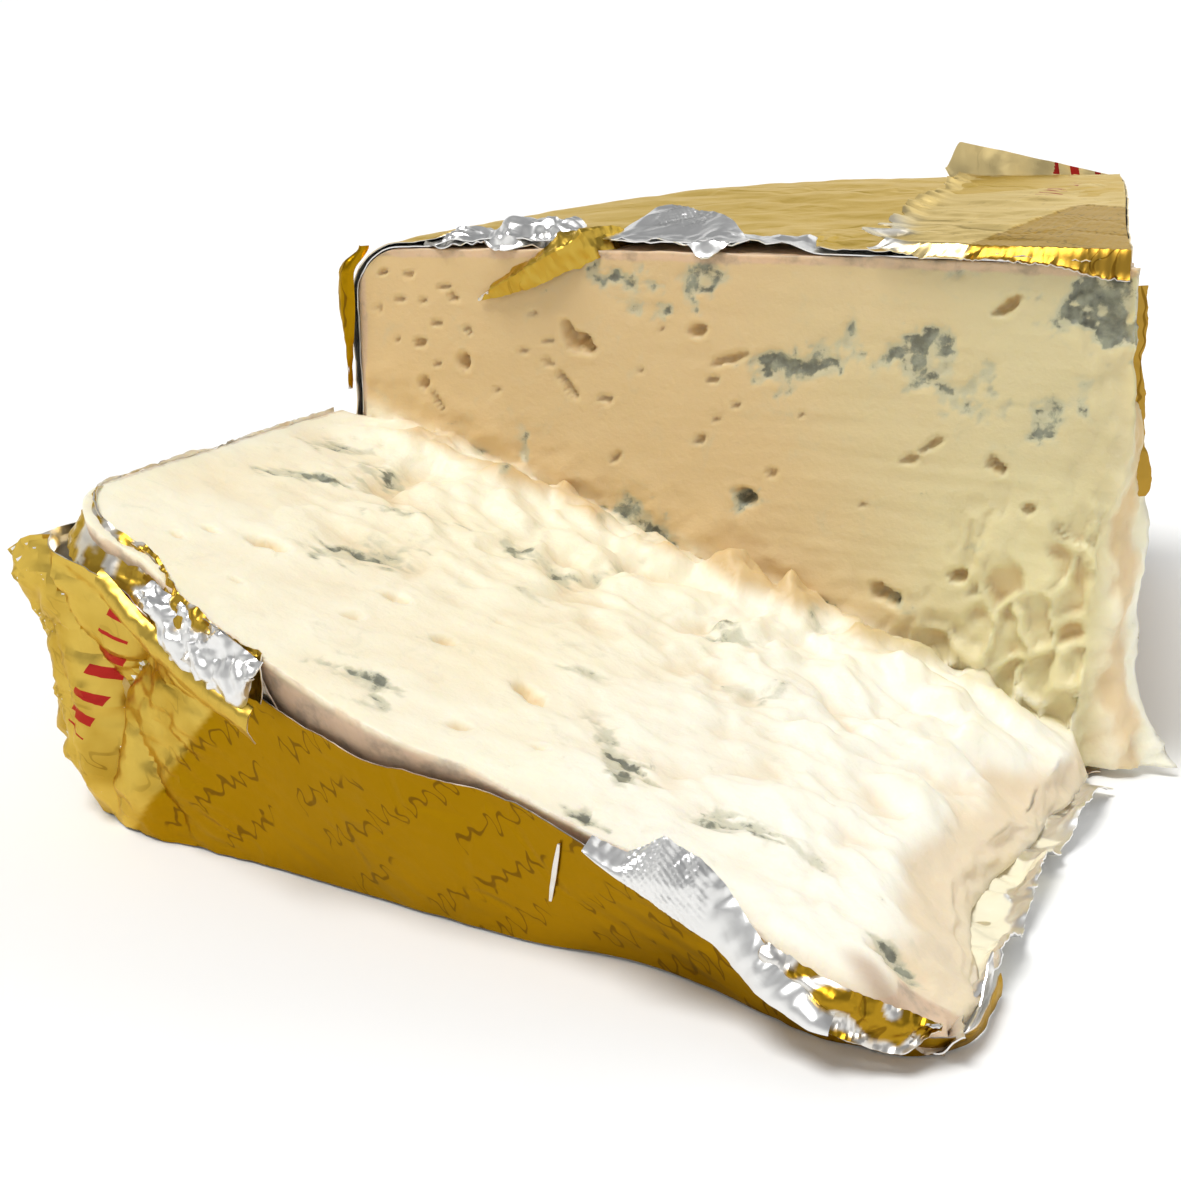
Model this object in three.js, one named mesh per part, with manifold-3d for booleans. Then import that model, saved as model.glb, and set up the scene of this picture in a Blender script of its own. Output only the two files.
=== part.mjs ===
// A wedge of soft blue cheese, cut nearly through and opened like a book, in its torn foil wrapping.
// The standing half rests on the wheel's mid-cut face with its cut face along the X axis.
// The lying half is a thin slice that has fallen forward (-Y), cut face up, still joined at the fold.
// Millimetres, +Z up.

import * as THREE from 'three';
import { mergeVertices } from 'three/addons/utils/BufferGeometryUtils.js';
import Module from 'manifold-3d';

const wasm = await Module();
wasm.setup();

// Cheese
const WHEEL_RADIUS = 148.5;
const HALF_HEIGHT = 84; // wheel flat face above the mid-cut face
const RIM_RADIUS = 10; // rounding between the rind and the flat face
const DOME = 2.5; // the flat face rises this much towards the wheel's axis
const STANDING_ANGLE = THREE.MathUtils.degToRad(79);
const STANDING_RISE = 7; // how much higher the flat face stands away from the cut
const STANDING_TIP_BLUNT = 3;
const LYING_RIND_THICKNESS = 50.5;
const LYING_TIP_THICKNESS = 4.5;
const LYING_TIP_BLUNT = 5;
const LYING_SHIFT = 3; // how far the slice has slid towards its rind
const LYING_FAN = Math.tan(THREE.MathUtils.degToRad(4)); // the front edge runs out towards the tip
const LYING_BULGE = 12; // the sagging paste pushes the upper front edge out
const FOLD_FILLET = 7; // torn paste left along the fold
const TIP_FOOT_RADIUS = 14; // paste squeezed out at the foot of the tip
const TIP_FOOT_TOP = 3;
const TIP_FOOT_HEIGHT = 32;
const TIP_FOOT_SETBACK = 6; // its axis behind the cut face

// Foil
const FOIL = 0.6; // a crumpled double layer
const GAP = 0.3; // clearance between touching layers
const OVERLAP_EDGE_X = -52; // torn edge of the overlapping sheet
const OVERLAP_LOW_EDGE = 34; // its lower edge on the radial face
const FOLD_EAR_HEIGHT = 10; // fold standing on the back rim
const FOLD_EAR_LENGTH = 42;
const TOP_TEAR_DEPTH = 16; // bare strip behind the cut edge
const TOP_TEAR_START = -132;
const TOP_TEAR_END = -58;
const TEAR_END_SHARES = [0.5, 0.6]; // depth at the tear's rind end and tip end, of its full depth
const LINING_TEAR_DEPTH = 5;
const WRAPPER_DROP = 8; // front sheet torn below the cut face
const LINING_DROP = 2.5;
const CORNER_REACH = 9; // bunched foil at the front corner
const CORNER_RUN = 24;
const CORNER_HEIGHT = 40;
const FLAP_LENGTH = 36;
const FLAP_DEPTH = 15;
const FLAP_START = -106;
const FLAP_FRONT_CORNER = 0.3; // along the flap's length; also how far back its tip end is, of its depth
const FLAP_BACK_CORNERS = [0.2, 0.8]; // along its length
const STRIP_WIDTH = 7;
const STRIP_DROP = 11;
const STRIP_START = -99;
const STRIP_SLANT = 19; // how far the strip runs towards the rind
const STRIP_TAIL = 15; // part of the strip that lies on the flat face

// Facets
const WHEEL_SEGMENTS = 120;
const FLAT_RINGS = 14;
const RIM_STEPS = 4;
const WALL_STEPS = 3;
const FOOT_SIDES = 16;
const REACH = 400; // longer than any piece, for cutting solids
const MERGE = 1e-4; // corners closer than this are one
const EMBED = 2; // depth that a joined part reaches into the body it joins

const INNER = [GAP, GAP + FOIL];
const OUTER = [2 * GAP + FOIL, 2 * GAP + 2 * FOIL];
const TOP_LAYER = [3 * GAP + 2 * FOIL, 3 * GAP + 3 * FOIL];
const LIFT = OUTER[1]; // cheese above the table
const LYING_SLOPE = (LYING_RIND_THICKNESS - LYING_TIP_THICKNESS) / WHEEL_RADIUS;

// Solids

function solidFrom(geometry) {
  geometry.deleteAttribute('normal');
  geometry.deleteAttribute('uv');
  const merged = mergeVertices(geometry, MERGE);
  const index = merged.index.array;
  const triangles = [];
  for (let i = 0; i < index.length; i += 3) {
    const [a, b, c] = [index[i], index[i + 1], index[i + 2]];
    if (a !== b && b !== c && c !== a) triangles.push(a, b, c);
  }
  return new wasm.Manifold(new wasm.Mesh({
    numProp: 3,
    vertProperties: new Float32Array(merged.attributes.position.array),
    triVerts: new Uint32Array(triangles),
  }));
}

function geometryFrom(solid) {
  const mesh = solid.getMesh();
  const geometry = new THREE.BufferGeometry();
  geometry.setAttribute('position', new THREE.BufferAttribute(mesh.vertProperties, mesh.numProp));
  geometry.setIndex(new THREE.BufferAttribute(mesh.triVerts, 1));
  return geometry;
}

// Moves every vertex of a solid by a function of its place.
function reshape(solid, move) {
  const geometry = geometryFrom(solid);
  const position = geometry.attributes.position;
  const point = new THREE.Vector3();
  for (let i = 0; i < position.count; i += 1) {
    point.fromBufferAttribute(position, i);
    move(point);
    position.setXYZ(i, point.x, point.y, point.z);
  }
  return solidFrom(geometry);
}

// An outline in plan, standing from z = low to z = high.
function planPrism(points, low, high) {
  const shape = new THREE.Shape(points.map(([x, y]) => new THREE.Vector2(x, y)));
  const geometry = new THREE.ExtrudeGeometry(shape, { depth: high - low, bevelEnabled: false });
  geometry.translate(0, 0, low);
  return solidFrom(geometry);
}

// An outline seen from the front (x, z), reaching from y = near to y = far.
function sidePrism(points, near, far) {
  const shape = new THREE.Shape(points.map(([x, z]) => new THREE.Vector2(x, z)));
  const geometry = new THREE.ExtrudeGeometry(shape, { depth: far - near, bevelEnabled: false });
  geometry.rotateX(Math.PI / 2);
  geometry.translate(0, far, 0);
  return solidFrom(geometry);
}

// An outline seen along the X axis (y, z), reaching from x = from to x = to.
function alongX(points, from, to) {
  const shape = new THREE.Shape(points.map(([y, z]) => new THREE.Vector2(y, z)));
  const geometry = new THREE.ExtrudeGeometry(shape, { depth: to - from, bevelEnabled: false });
  geometry.applyMatrix4(new THREE.Matrix4().makeBasis(
    new THREE.Vector3(0, 1, 0), new THREE.Vector3(0, 0, 1), new THREE.Vector3(1, 0, 0),
  ));
  geometry.translate(from, 0, 0);
  return solidFrom(geometry);
}

// Half a wheel about +Z, from `below` under its mid-cut face to its flat face, grown by `growth`.
function wheel(growth, below = growth) {
  const radius = WHEEL_RADIUS + growth;
  const rim = RIM_RADIUS + growth;
  const top = HALF_HEIGHT + growth;
  const points = [new THREE.Vector2(0, -below), new THREE.Vector2(radius, -below)];
  for (let i = 1; i < WALL_STEPS; i += 1) {
    points.push(new THREE.Vector2(radius, (HALF_HEIGHT - RIM_RADIUS) * (i / WALL_STEPS)));
  }
  for (let i = 0; i <= RIM_STEPS; i += 1) {
    const angle = (i / RIM_STEPS) * (Math.PI / 2);
    points.push(new THREE.Vector2(radius - rim + rim * Math.cos(angle), top - rim + rim * Math.sin(angle)));
  }
  for (let i = FLAT_RINGS - 1; i >= 0; i -= 1) {
    const out = i / FLAT_RINGS;
    points.push(new THREE.Vector2((WHEEL_RADIUS - RIM_RADIUS) * out, top + DOME * (1 - out * out)));
  }
  const geometry = new THREE.LatheGeometry(points, WHEEL_SEGMENTS);
  geometry.rotateX(Math.PI / 2);
  return geometry;
}

// Standing half

// Plan of the standing half; the cut face stays at y = 0 and the other sides grow outwards.
function standingPlan(growth, cutY) {
  const direction = [-Math.cos(STANDING_ANGLE), Math.sin(STANDING_ANGLE)];
  const tipX = -STANDING_TIP_BLUNT + growth;
  const sideX = growth / Math.sin(STANDING_ANGLE);
  const cornerY = (sideX - tipX) / -direction[0] * direction[1];
  const farY = REACH;
  const farX = sideX + farY / direction[1] * direction[0];
  return [[-REACH, cutY], [tipX, cutY], [tipX, cornerY], [farX, farY], [-REACH, farY]];
}

function standingBlock(growth, cutY) {
  const plan = planPrism(standingPlan(growth, cutY), -REACH, REACH);
  return solidFrom(wheel(growth)).intersect(plan);
}

function standingShell([inside, outside]) {
  return standingBlock(outside, 0).subtract(standingBlock(inside, -REACH));
}

function settleStanding(point) {
  const lean = 1 + (STANDING_RISE / HALF_HEIGHT) * (point.y / WHEEL_RADIUS);
  point.z = LIFT + (point.z > 0 ? point.z * lean : point.z);
}

// The strip behind the cut edge where a sheet is torn off the flat face.
function topTear(depth) {
  const middle = (TOP_TEAR_START + TOP_TEAR_END) / 2;
  const [rindShare, tipShare] = TEAR_END_SHARES;
  const outline = [
    [TOP_TEAR_START, -REACH], [TOP_TEAR_END, -REACH], [TOP_TEAR_END, depth * tipShare],
    [middle, depth], [TOP_TEAR_START, depth * rindShare],
  ];
  return planPrism(outline, HALF_HEIGHT - RIM_RADIUS - TOP_TEAR_DEPTH, REACH);
}

function standingLining() {
  return reshape(standingShell(INNER).subtract(topTear(LINING_TEAR_DEPTH)), settleStanding);
}

function standingWrapper() {
  return reshape(standingShell(OUTER).subtract(topTear(TOP_TEAR_DEPTH)), settleStanding);
}

// The fold that stands up from the back rim, a thin triangle that dies out at the radial face.
function foldEar() {
  const [inside, outside] = TOP_LAYER;
  const foot = HALF_HEIGHT + inside;
  const geometry = geometryFrom(sidePrism([
    [-FOLD_EAR_LENGTH, foot], [0, foot], [0, HALF_HEIGHT + outside],
    [-FOLD_EAR_LENGTH, foot + FOLD_EAR_HEIGHT],
  ], 0, 2 * FOIL));
  const radius = WHEEL_RADIUS - RIM_RADIUS;
  const middle = STANDING_ANGLE - FOLD_EAR_LENGTH / (2 * radius);
  geometry.rotateZ(Math.PI / 2 - middle);
  geometry.translate(-radius * Math.cos(STANDING_ANGLE), radius * Math.sin(STANDING_ANGLE) - 2 * FOIL, 0);
  return solidFrom(geometry);
}

function overlapSheet() {
  const cover = planPrism([
    [OVERLAP_EDGE_X, -REACH], [REACH, -REACH], [REACH, REACH], [OVERLAP_EDGE_X, REACH],
  ], OVERLAP_LOW_EDGE, REACH);
  return reshape(standingShell(TOP_LAYER).intersect(cover).add(foldEar()), settleStanding);
}

function topFlap() {
  const [low, high] = TOP_LAYER;
  const [backLeft, backRight] = FLAP_BACK_CORNERS;
  const outline = [
    [FLAP_START, TOP_TEAR_DEPTH / 2], [FLAP_START + FLAP_LENGTH * FLAP_FRONT_CORNER, GAP],
    [FLAP_START + FLAP_LENGTH, FLAP_DEPTH * FLAP_FRONT_CORNER],
    [FLAP_START + FLAP_LENGTH * backRight, FLAP_DEPTH],
    [FLAP_START + FLAP_LENGTH * backLeft, FLAP_DEPTH],
  ];
  const flap = planPrism(outline, HALF_HEIGHT + DOME + low, HALF_HEIGHT + DOME + high);
  return reshape(flap, settleStanding);
}

// A sliver of foil that runs over the cut edge and hangs down the cut face, slanting to the rind.
function tornStrip() {
  const low = HALF_HEIGHT + DOME + TOP_LAYER[1] + GAP;
  const foot = HALF_HEIGHT - STRIP_DROP;
  const outline = [
    [STRIP_TAIL, low], [STRIP_TAIL, low + FOIL], [-GAP - FOIL, low + FOIL],
    [-GAP - FOIL, foot], [-GAP, foot], [-GAP, low],
  ];
  const strip = alongX(outline, STRIP_START - STRIP_WIDTH / 2, STRIP_START + STRIP_WIDTH / 2);
  const length = STRIP_TAIL + STRIP_DROP;
  return reshape(strip, (point) => {
    const run = STRIP_TAIL - point.y + Math.max(0, low - point.z);
    point.x -= STRIP_SLANT * (run / length);
    settleStanding(point);
  });
}

// Lying half

// Side view of the lying half: flat below, the cut face sloping down from rind to tip above.
function lyingProfile(growth, drop) {
  const tipX = -LYING_TIP_BLUNT + growth;
  const rise = (x) => LYING_TIP_THICKNESS - LYING_SLOPE * x - drop;
  return [[-REACH, -growth], [tipX, -growth], [tipX, Math.max(rise(tipX), FOIL - growth)], [-REACH, rise(-REACH)]];
}

// The slice with its wheel axis along Y, from the flat face in front to y = foldY behind.
function lyingBlock(growth, drop, foldY) {
  const disc = wheel(growth, Math.max(growth, foldY));
  disc.rotateX(Math.PI / 2);
  disc.translate(-LYING_SHIFT, 0, LYING_RIND_THICKNESS / 2);
  const slice = sidePrism(lyingProfile(growth, drop), -REACH, foldY);
  return solidFrom(disc).intersect(slice);
}

function lyingShell([inside, outside], drop) {
  return lyingBlock(outside, drop, -GAP).subtract(lyingBlock(inside, -REACH, REACH));
}

// Fans the slice out towards its tip and lets its upper front edge sag outwards.
function settleLying(point) {
  const along = THREE.MathUtils.clamp((point.x + WHEEL_RADIUS) / WHEEL_RADIUS, 0, 1);
  const thickness = LYING_TIP_THICKNESS + LYING_SLOPE * WHEEL_RADIUS * (1 - along);
  const height = THREE.MathUtils.clamp(point.z / thickness, 0, 1);
  const fan = LYING_FAN * WHEEL_RADIUS * along;
  const bulge = LYING_BULGE * Math.sin(Math.PI * along) * height;
  point.y *= 1 + (fan + bulge) / HALF_HEIGHT;
  point.z += LIFT;
}

function lyingLining() {
  return reshape(lyingShell(INNER, LINING_DROP), settleLying);
}

// The pointed bunch of foil that the front sheet makes past the rounded rim.
function cornerBunch() {
  const rindX = -LYING_SHIFT - WHEEL_RADIUS - OUTER[0];
  const frontY = -HALF_HEIGHT - OUTER[0];
  return planPrism([
    [rindX, frontY + CORNER_RUN], [rindX - CORNER_REACH, frontY + RIM_RADIUS / 2],
    [rindX + CORNER_RUN, frontY - FOIL], [rindX + CORNER_RUN, frontY + CORNER_RUN],
  ], -OUTER[1], CORNER_HEIGHT);
}

function lyingWrapper() {
  const inside = reshape(lyingBlock(OUTER[0], -REACH, REACH), settleLying);
  const bunch = reshape(cornerBunch(), settleLying).subtract(inside);
  return reshape(lyingShell(OUTER, WRAPPER_DROP), settleLying).add(bunch);
}

// Cheese

// Torn paste that fills the corner between the two cut faces.
function foldFillet() {
  const outline = [
    [-FOLD_FILLET, -EMBED], [EMBED, -EMBED], [EMBED, FOLD_FILLET], [0, FOLD_FILLET], [-FOLD_FILLET, 0],
  ];
  const fillet = alongX(outline, -WHEEL_RADIUS + RIM_RADIUS, -RIM_RADIUS);
  return reshape(fillet, (point) => {
    point.z += LIFT + LYING_TIP_THICKNESS - LYING_SLOPE * point.x;
  });
}

// Paste squeezed out at the foot of the tip.
function tipFoot(growth) {
  const height = TIP_FOOT_HEIGHT + 2 * growth;
  const foot = new THREE.CylinderGeometry(
    TIP_FOOT_TOP + growth, TIP_FOOT_RADIUS + growth, height, FOOT_SIDES,
  );
  foot.rotateX(Math.PI / 2);
  foot.translate(-STANDING_TIP_BLUNT - TIP_FOOT_TOP, TIP_FOOT_SETBACK, LIFT - growth + height / 2);
  return solidFrom(foot);
}

// The lying half reaches into the standing half along the fold, clear of the standing foil.
function joiningPlan() {
  const inX = -WHEEL_RADIUS + EMBED;
  return planPrism([
    [-REACH, -REACH], [REACH, -REACH], [REACH, RIM_RADIUS], [inX + RIM_RADIUS, RIM_RADIUS],
    [inX, -GAP], [-REACH, -GAP],
  ], -REACH, REACH);
}

function openedCheese() {
  const standing = reshape(standingBlock(0, 0), settleStanding);
  const lying = reshape(lyingBlock(0, 0, RIM_RADIUS).intersect(joiningPlan()), settleLying);
  return standing.add(lying).add(foldFillet()).add(tipFoot(0));
}

function clearOfFoot(solid) {
  return solid.subtract(tipFoot(GAP));
}

// Scene

function finish(color, roughness, metalness) {
  return new THREE.MeshStandardMaterial({ color, roughness, metalness });
}

function piece(name, solid, material) {
  const geometry = geometryFrom(solid);
  geometry.computeVertexNormals();
  const mesh = new THREE.Mesh(geometry, material);
  mesh.name = name;
  return mesh;
}

const wedge = new THREE.Group();
wedge.add(piece('cheese', openedCheese(), finish(0xefe2bd, 0.45, 0)));
wedge.add(piece('back_inner_foil', clearOfFoot(standingLining()), finish(0xc4c4c4, 0.3, 1)));
wedge.add(piece('back_wrapper', clearOfFoot(standingWrapper()), finish(0xb9922a, 0.35, 0.9)));
wedge.add(piece('back_wrapper_overlap', clearOfFoot(overlapSheet()), finish(0xc7ae62, 0.38, 0.85)));
wedge.add(piece('front_inner_foil', clearOfFoot(lyingLining()), finish(0xb9a760, 0.3, 1)));
wedge.add(piece('front_wrapper', clearOfFoot(lyingWrapper()), finish(0xa87f1d, 0.35, 0.9)));
wedge.add(piece('torn_foil_strip', tornStrip(), finish(0xc09a2e, 0.3, 0.95)));
wedge.add(piece('turned_silver_flap', topFlap(), finish(0xd8d8dc, 0.4, 0.8)));

// The origin is under the middle of the whole object, on the table.
const bounds = new THREE.Box3().setFromObject(wedge);
const middle = bounds.getCenter(new THREE.Vector3());
wedge.position.set(-middle.x, -middle.y, -bounds.min.z);

const group = new THREE.Group();
group.add(wedge);

export default group;
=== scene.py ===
"""An opened wedge of soft blue cheese in torn foil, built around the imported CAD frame.

Shapes are worked out in millimetres in wheel coordinates: the wheel's axis is the origin, the upright cut
face lies along -X, +Y goes into the standing half, and the table is z = 0. row() turns them into metres in
the frame's own coordinates.
"""

import math

import bpy  # noqa: E402
import numpy as np  # noqa: E402
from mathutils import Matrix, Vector  # noqa: E402


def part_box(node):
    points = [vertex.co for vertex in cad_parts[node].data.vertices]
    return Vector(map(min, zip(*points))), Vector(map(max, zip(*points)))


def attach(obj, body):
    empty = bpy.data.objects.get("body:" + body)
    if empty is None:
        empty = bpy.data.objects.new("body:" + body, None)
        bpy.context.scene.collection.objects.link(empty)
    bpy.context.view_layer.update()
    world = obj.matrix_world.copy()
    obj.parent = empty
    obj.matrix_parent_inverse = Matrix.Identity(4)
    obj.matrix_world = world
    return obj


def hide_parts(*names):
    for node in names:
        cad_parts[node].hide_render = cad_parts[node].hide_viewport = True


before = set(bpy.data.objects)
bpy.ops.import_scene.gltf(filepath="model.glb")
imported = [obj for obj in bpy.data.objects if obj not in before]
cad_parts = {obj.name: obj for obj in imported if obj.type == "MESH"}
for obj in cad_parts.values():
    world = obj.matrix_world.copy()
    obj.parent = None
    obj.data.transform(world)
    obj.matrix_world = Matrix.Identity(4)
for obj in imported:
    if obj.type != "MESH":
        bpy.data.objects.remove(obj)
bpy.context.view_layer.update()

MM = 0.001

# The wedge, as in the CAD model
RADIUS = 148.5
HALF_HEIGHT = 84.0
RIM = 10.0
DOME = 2.5
LIFT = 1.8  # foil under the cheese
STANDING_ANGLE = math.radians(79)
STANDING_RISE = 7.0
RIND_THICKNESS = 50.5
TIP_THICKNESS = 4.5
SLOPE = (RIND_THICKNESS - TIP_THICKNESS) / RADIUS
FAN = math.tan(math.radians(4))
BULGE = 11.0
RIND_X = -152.3  # where the lying half ends at its rind

CAMERA_PLACE = (33.0, -281.4, 117.5)
CAMERA_AZIMUTH = math.radians(25.0)
CAMERA_ELEVATION = math.radians(17.1)
CAMERA_LENS = 50.9
SENSOR_WIDTH = 36.0

wrap_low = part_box("back_wrapper")[0]
AXIS = np.array([wrap_low[0] / MM + RADIUS + LIFT, wrap_low[1] / MM, 0.0])


def row(points):
    """Wheel coordinates in millimetres to the frame's metres."""
    return (np.asarray(points, float) + AXIS) * MM


# Numbers


def smooth(low, high, x):
    """0 at low and 1 at high, eased; high may be the smaller."""
    t = np.clip((x - low) / (high - low), 0.0, 1.0)
    return t * t * (3 - 2 * t)


def lattice(seed):
    """The shuffled order and the random directions that noise() works with."""
    rng = np.random.default_rng(seed)
    slopes = rng.normal(size=(256, 3))
    return rng.permutation(256), slopes / np.linalg.norm(slopes, axis=1)[:, None]


ORDER, SLOPES = lattice(7)


def noise(points, scale, seed=0):
    """Gradient noise, about -1 to 1, over (N, 3) points; scale is millimetres a cell, one number or three."""
    p = np.asarray(points, float) / scale + seed * 17.31
    cell = np.floor(p).astype(int)
    f = p - cell
    w = f * f * f * (f * (f * 6 - 15) + 10)
    total = np.zeros(len(p))
    for corner in np.ndindex(2, 2, 2):
        c = np.array(corner)
        i = cell + c
        key = ORDER[(ORDER[(ORDER[i[:, 0] & 255] + i[:, 1]) & 255] + i[:, 2]) & 255]
        weight = np.prod(np.where(c == 1, w, 1 - w), axis=1)
        total += weight * np.einsum("ij,ij->i", SLOPES[key], f - c)
    return total * 1.6


def grid_noise(grid, scale, seed=0):
    """noise() at a grid's points."""
    return noise(grid.reshape(-1, 3), scale, seed).reshape(grid.shape[:2])


def fbm(points, scale, octaves=4, seed=0, gain=0.5):
    """Noise with finer and finer noise on it."""
    total, size = 0.0, 1.0
    for k in range(octaves):
        total = total + size * noise(points, np.asarray(scale, float) / 2**k, seed + k)
        size *= gain
    return total


def ridges(points, scale, octaves=3, seed=0):
    """0 to 1, with sharp crests."""
    total, size, whole = 0.0, 1.0, 0.0
    for k in range(octaves):
        total = total + size * (1 - np.abs(noise(points, np.asarray(scale, float) / 2**k, seed + k)))
        whole += size
        size *= 0.5
    return total / whole


def flat_points(a, b):
    return np.stack([a, b, np.zeros_like(a)], axis=-1)


def span(first, last, count):
    """A row of numbers that varies along a grid's columns."""
    return np.linspace(first, last, count)[None]


def rise(count):
    """A column from 0 to 1 that varies along a grid's rows."""
    return np.linspace(0, 1, count)[:, None]


def spread(x, y, z):
    """A grid of points from three coordinates that may each vary along one side only."""
    return np.stack(np.broadcast_arrays(x, y, z), -1)


def bell(x, middle, width):
    """A round hump, 1 at its middle."""
    return np.exp(-(((x - middle) / width) ** 2))


def arc(x, y, radius, first, last, count):
    """Points of a circle in a plane, from one angle to another in degrees."""
    turn = np.linspace(math.radians(first), math.radians(last), count)
    return np.stack([x + radius * np.cos(turn), y + radius * np.sin(turn)], -1)


def nearest_seeds(a, b, centres):
    """Distance to the nearest and the second nearest of some centres in a plane."""
    d = np.hypot(a[:, None] - centres[None, :, 0], b[:, None] - centres[None, :, 1])
    two = np.partition(d, 1, axis=1)[:, :2]
    return two[:, 0], two[:, 1]


# Meshes


def coons(bottom, top, left, right):
    """A grid of points between four border curves: bottom and top have n points, left and right m."""
    n, m = len(bottom), len(left)
    u = np.linspace(0, 1, n)[None, :, None]
    v = np.linspace(0, 1, m)[:, None, None]
    across = (1 - v) * bottom[None] + v * top[None]
    along = (1 - u) * left[:, None] + u * right[:, None]
    corners = (1 - u) * (1 - v) * bottom[0] + u * (1 - v) * bottom[-1]
    corners = corners + (1 - u) * v * top[0] + u * v * top[-1]
    return across + along - corners


def grid_quads(ids):
    """The faces of a grid of vertex numbers."""
    a, b, c, d = ids[:-1, :-1], ids[:-1, 1:], ids[1:, 1:], ids[1:, :-1]
    return np.stack([a, b, c, d], axis=-1).reshape(-1, 4).tolist()


def ring_quads(near, far):
    """The band between two loops, the near one facing the way the grid it borders does."""
    return np.stack([near, far, np.roll(far, -1), np.roll(near, -1)], axis=-1).tolist()


def border(ids):
    """The border of a grid of vertex numbers, once round."""
    return np.concatenate([ids[0, :-1], ids[:-1, -1], ids[-1, :0:-1], ids[:0:-1, 0]])


def make_object(name, points, faces, in_row=False):
    mesh = bpy.data.meshes.new(name)
    mesh.from_pydata((points if in_row else row(points)).tolist(), [], faces)
    mesh.validate()
    mesh.update()
    obj = bpy.data.objects.new(name, mesh)
    bpy.context.scene.collection.objects.link(obj)
    return obj


def apply_modifiers(obj):
    graph = bpy.context.evaluated_depsgraph_get()
    mesh = bpy.data.meshes.new_from_object(obj.evaluated_get(graph))
    obj.modifiers.clear()
    obj.data = mesh


def mesh_points(obj):
    """An object's vertices in wheel coordinates."""
    flat = np.zeros(len(obj.data.vertices) * 3, np.float32)
    obj.data.vertices.foreach_get("co", flat)
    return flat.reshape(-1, 3) / MM - AXIS


def set_attribute(obj, name, values):
    """A value for each vertex: one number or three."""
    vector = values.ndim == 2 and values.shape[1] == 3
    layer = obj.data.attributes.new(name, "FLOAT_VECTOR" if vector else "FLOAT", "POINT")
    layer.data.foreach_set("vector" if vector else "value", values.astype(np.float32).ravel())


def set_colour(obj, name, values):
    layer = obj.data.color_attributes.new(name, "FLOAT_COLOR", "POINT")
    rgba = np.concatenate([values, np.ones((len(values), 1))], axis=1)
    layer.data.foreach_set("color", rgba.astype(np.float32).ravel())


# The cheese: where things are. Eyes, mould and lumps are given in millimetres and degrees.

# Of the upright face: x, z, length, height, tilt
STANDING_EYES = [
    (-143, 81, 2.5, 1.2, 10), (-137, 81, 2.8, 1.0, 0), (-129, 79, 3.4, 1.2, 15),
    (-127, 77, 3.6, 1.3, -25), (-144, 74, 3.0, 1.1, 10), (-139, 76, 2.5, 1.1, 0),
    (-134, 76, 2.4, 1.0, 20), (-131, 72, 3.2, 1.2, 10), (-140, 68, 1.6, 1.0, 0), (-135, 68, 3.0, 1.6, 10),
    (-124, 71, 2.4, 1.1, -40), (-131, 64, 1.8, 1.2, 0), (-125, 65, 3.6, 3.2, 20),
    (-134, 60, 2.6, 2.6, 60), (-131, 57, 5.5, 1.2, -50), (-110, 75, 1.6, 1.0, 0),
    (-102, 71, 6.5, 3.0, -55), (-99, 70, 4.5, 2.8, -30), (-107, 70, 2.6, 0.9, 0), (-112, 68, 2.4, 0.9, 0),
    (-107, 66, 3.6, 1.0, -5), (-103, 62, 7.5, 1.5, -50), (-95, 60, 3.0, 1.4, -15),
    (-77, 74, 3.6, 2.8, 20), (-71, 69, 8.0, 1.8, 18), (-74, 65, 2.4, 1.4, 0), (-73, 58, 2.4, 0.9, 20),
    (-69, 61, 1.6, 1.0, 0), (-76, 54, 3.2, 1.4, 25), (-93, 49, 3.0, 1.3, 40), (-62, 49, 2.6, 1.2, 0),
    (-22, 81, 5.2, 2.4, 35), (-33, 57, 5.0, 1.6, 30), (-37, 54, 4.0, 1.4, 15), (-22, 54, 4.0, 2.2, -45),
    (-16, 47, 2.4, 2.0, 80), (-27, 34, 4.2, 2.6, -10), (-40, 29, 6.5, 3.0, -30), (-67, 44, 5.5, 2.8, -15),
    (-118, 60, 1.5, 0.8, 0), (-88, 66, 1.4, 0.8, 10), (-57, 60, 1.6, 0.8, 0), (-45, 45, 1.8, 0.9, 20),
    (-84, 74, 1.3, 0.8, 0),
]
# Of the upright face: x, z, length, height, tilt, strength
STANDING_MOULD = [
    (-96, 82, 12, 6, -30, 0.9), (-89, 80, 8, 7, 0, 0.8), (-76, 83, 7, 6, 60, 0.75),
    (-48, 89, 3, 4, 0, 0.6), (-48, 77, 4.5, 14, 5, 1.0), (-53.5, 72, 5.5, 4, 0, 1.0),
    (-59, 68, 16, 5, 8, 0.9), (-34, 72, 18, 9, -10, 0.95), (-30, 66, 9, 7, -40, 0.8),
    (-13, 63, 14, 6, 15, 0.75), (-9, 70, 4, 2.5, 0, 0.7), (-6, 81, 12, 12, 0, 1.6),
    (-67, 44, 6, 4, -10, 0.9), (-113, 52, 4, 9, 15, 0.6), (-117, 44, 9, 3, -30, 0.55),
    (-86, 36, 16, 6, -25, 0.9), (-37, 88, 7, 3, 0, 0.8), (-30, 87, 4, 3, 0, 0.7),
    (-39, 30, 7, 4, -30, 0.7), (-49, 24, 8, 3, -35, 0.6), (-24, 40, 5, 3, 10, 0.35),
    (-108, 84, 6, 2.5, 0, 0.45),
]
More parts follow.
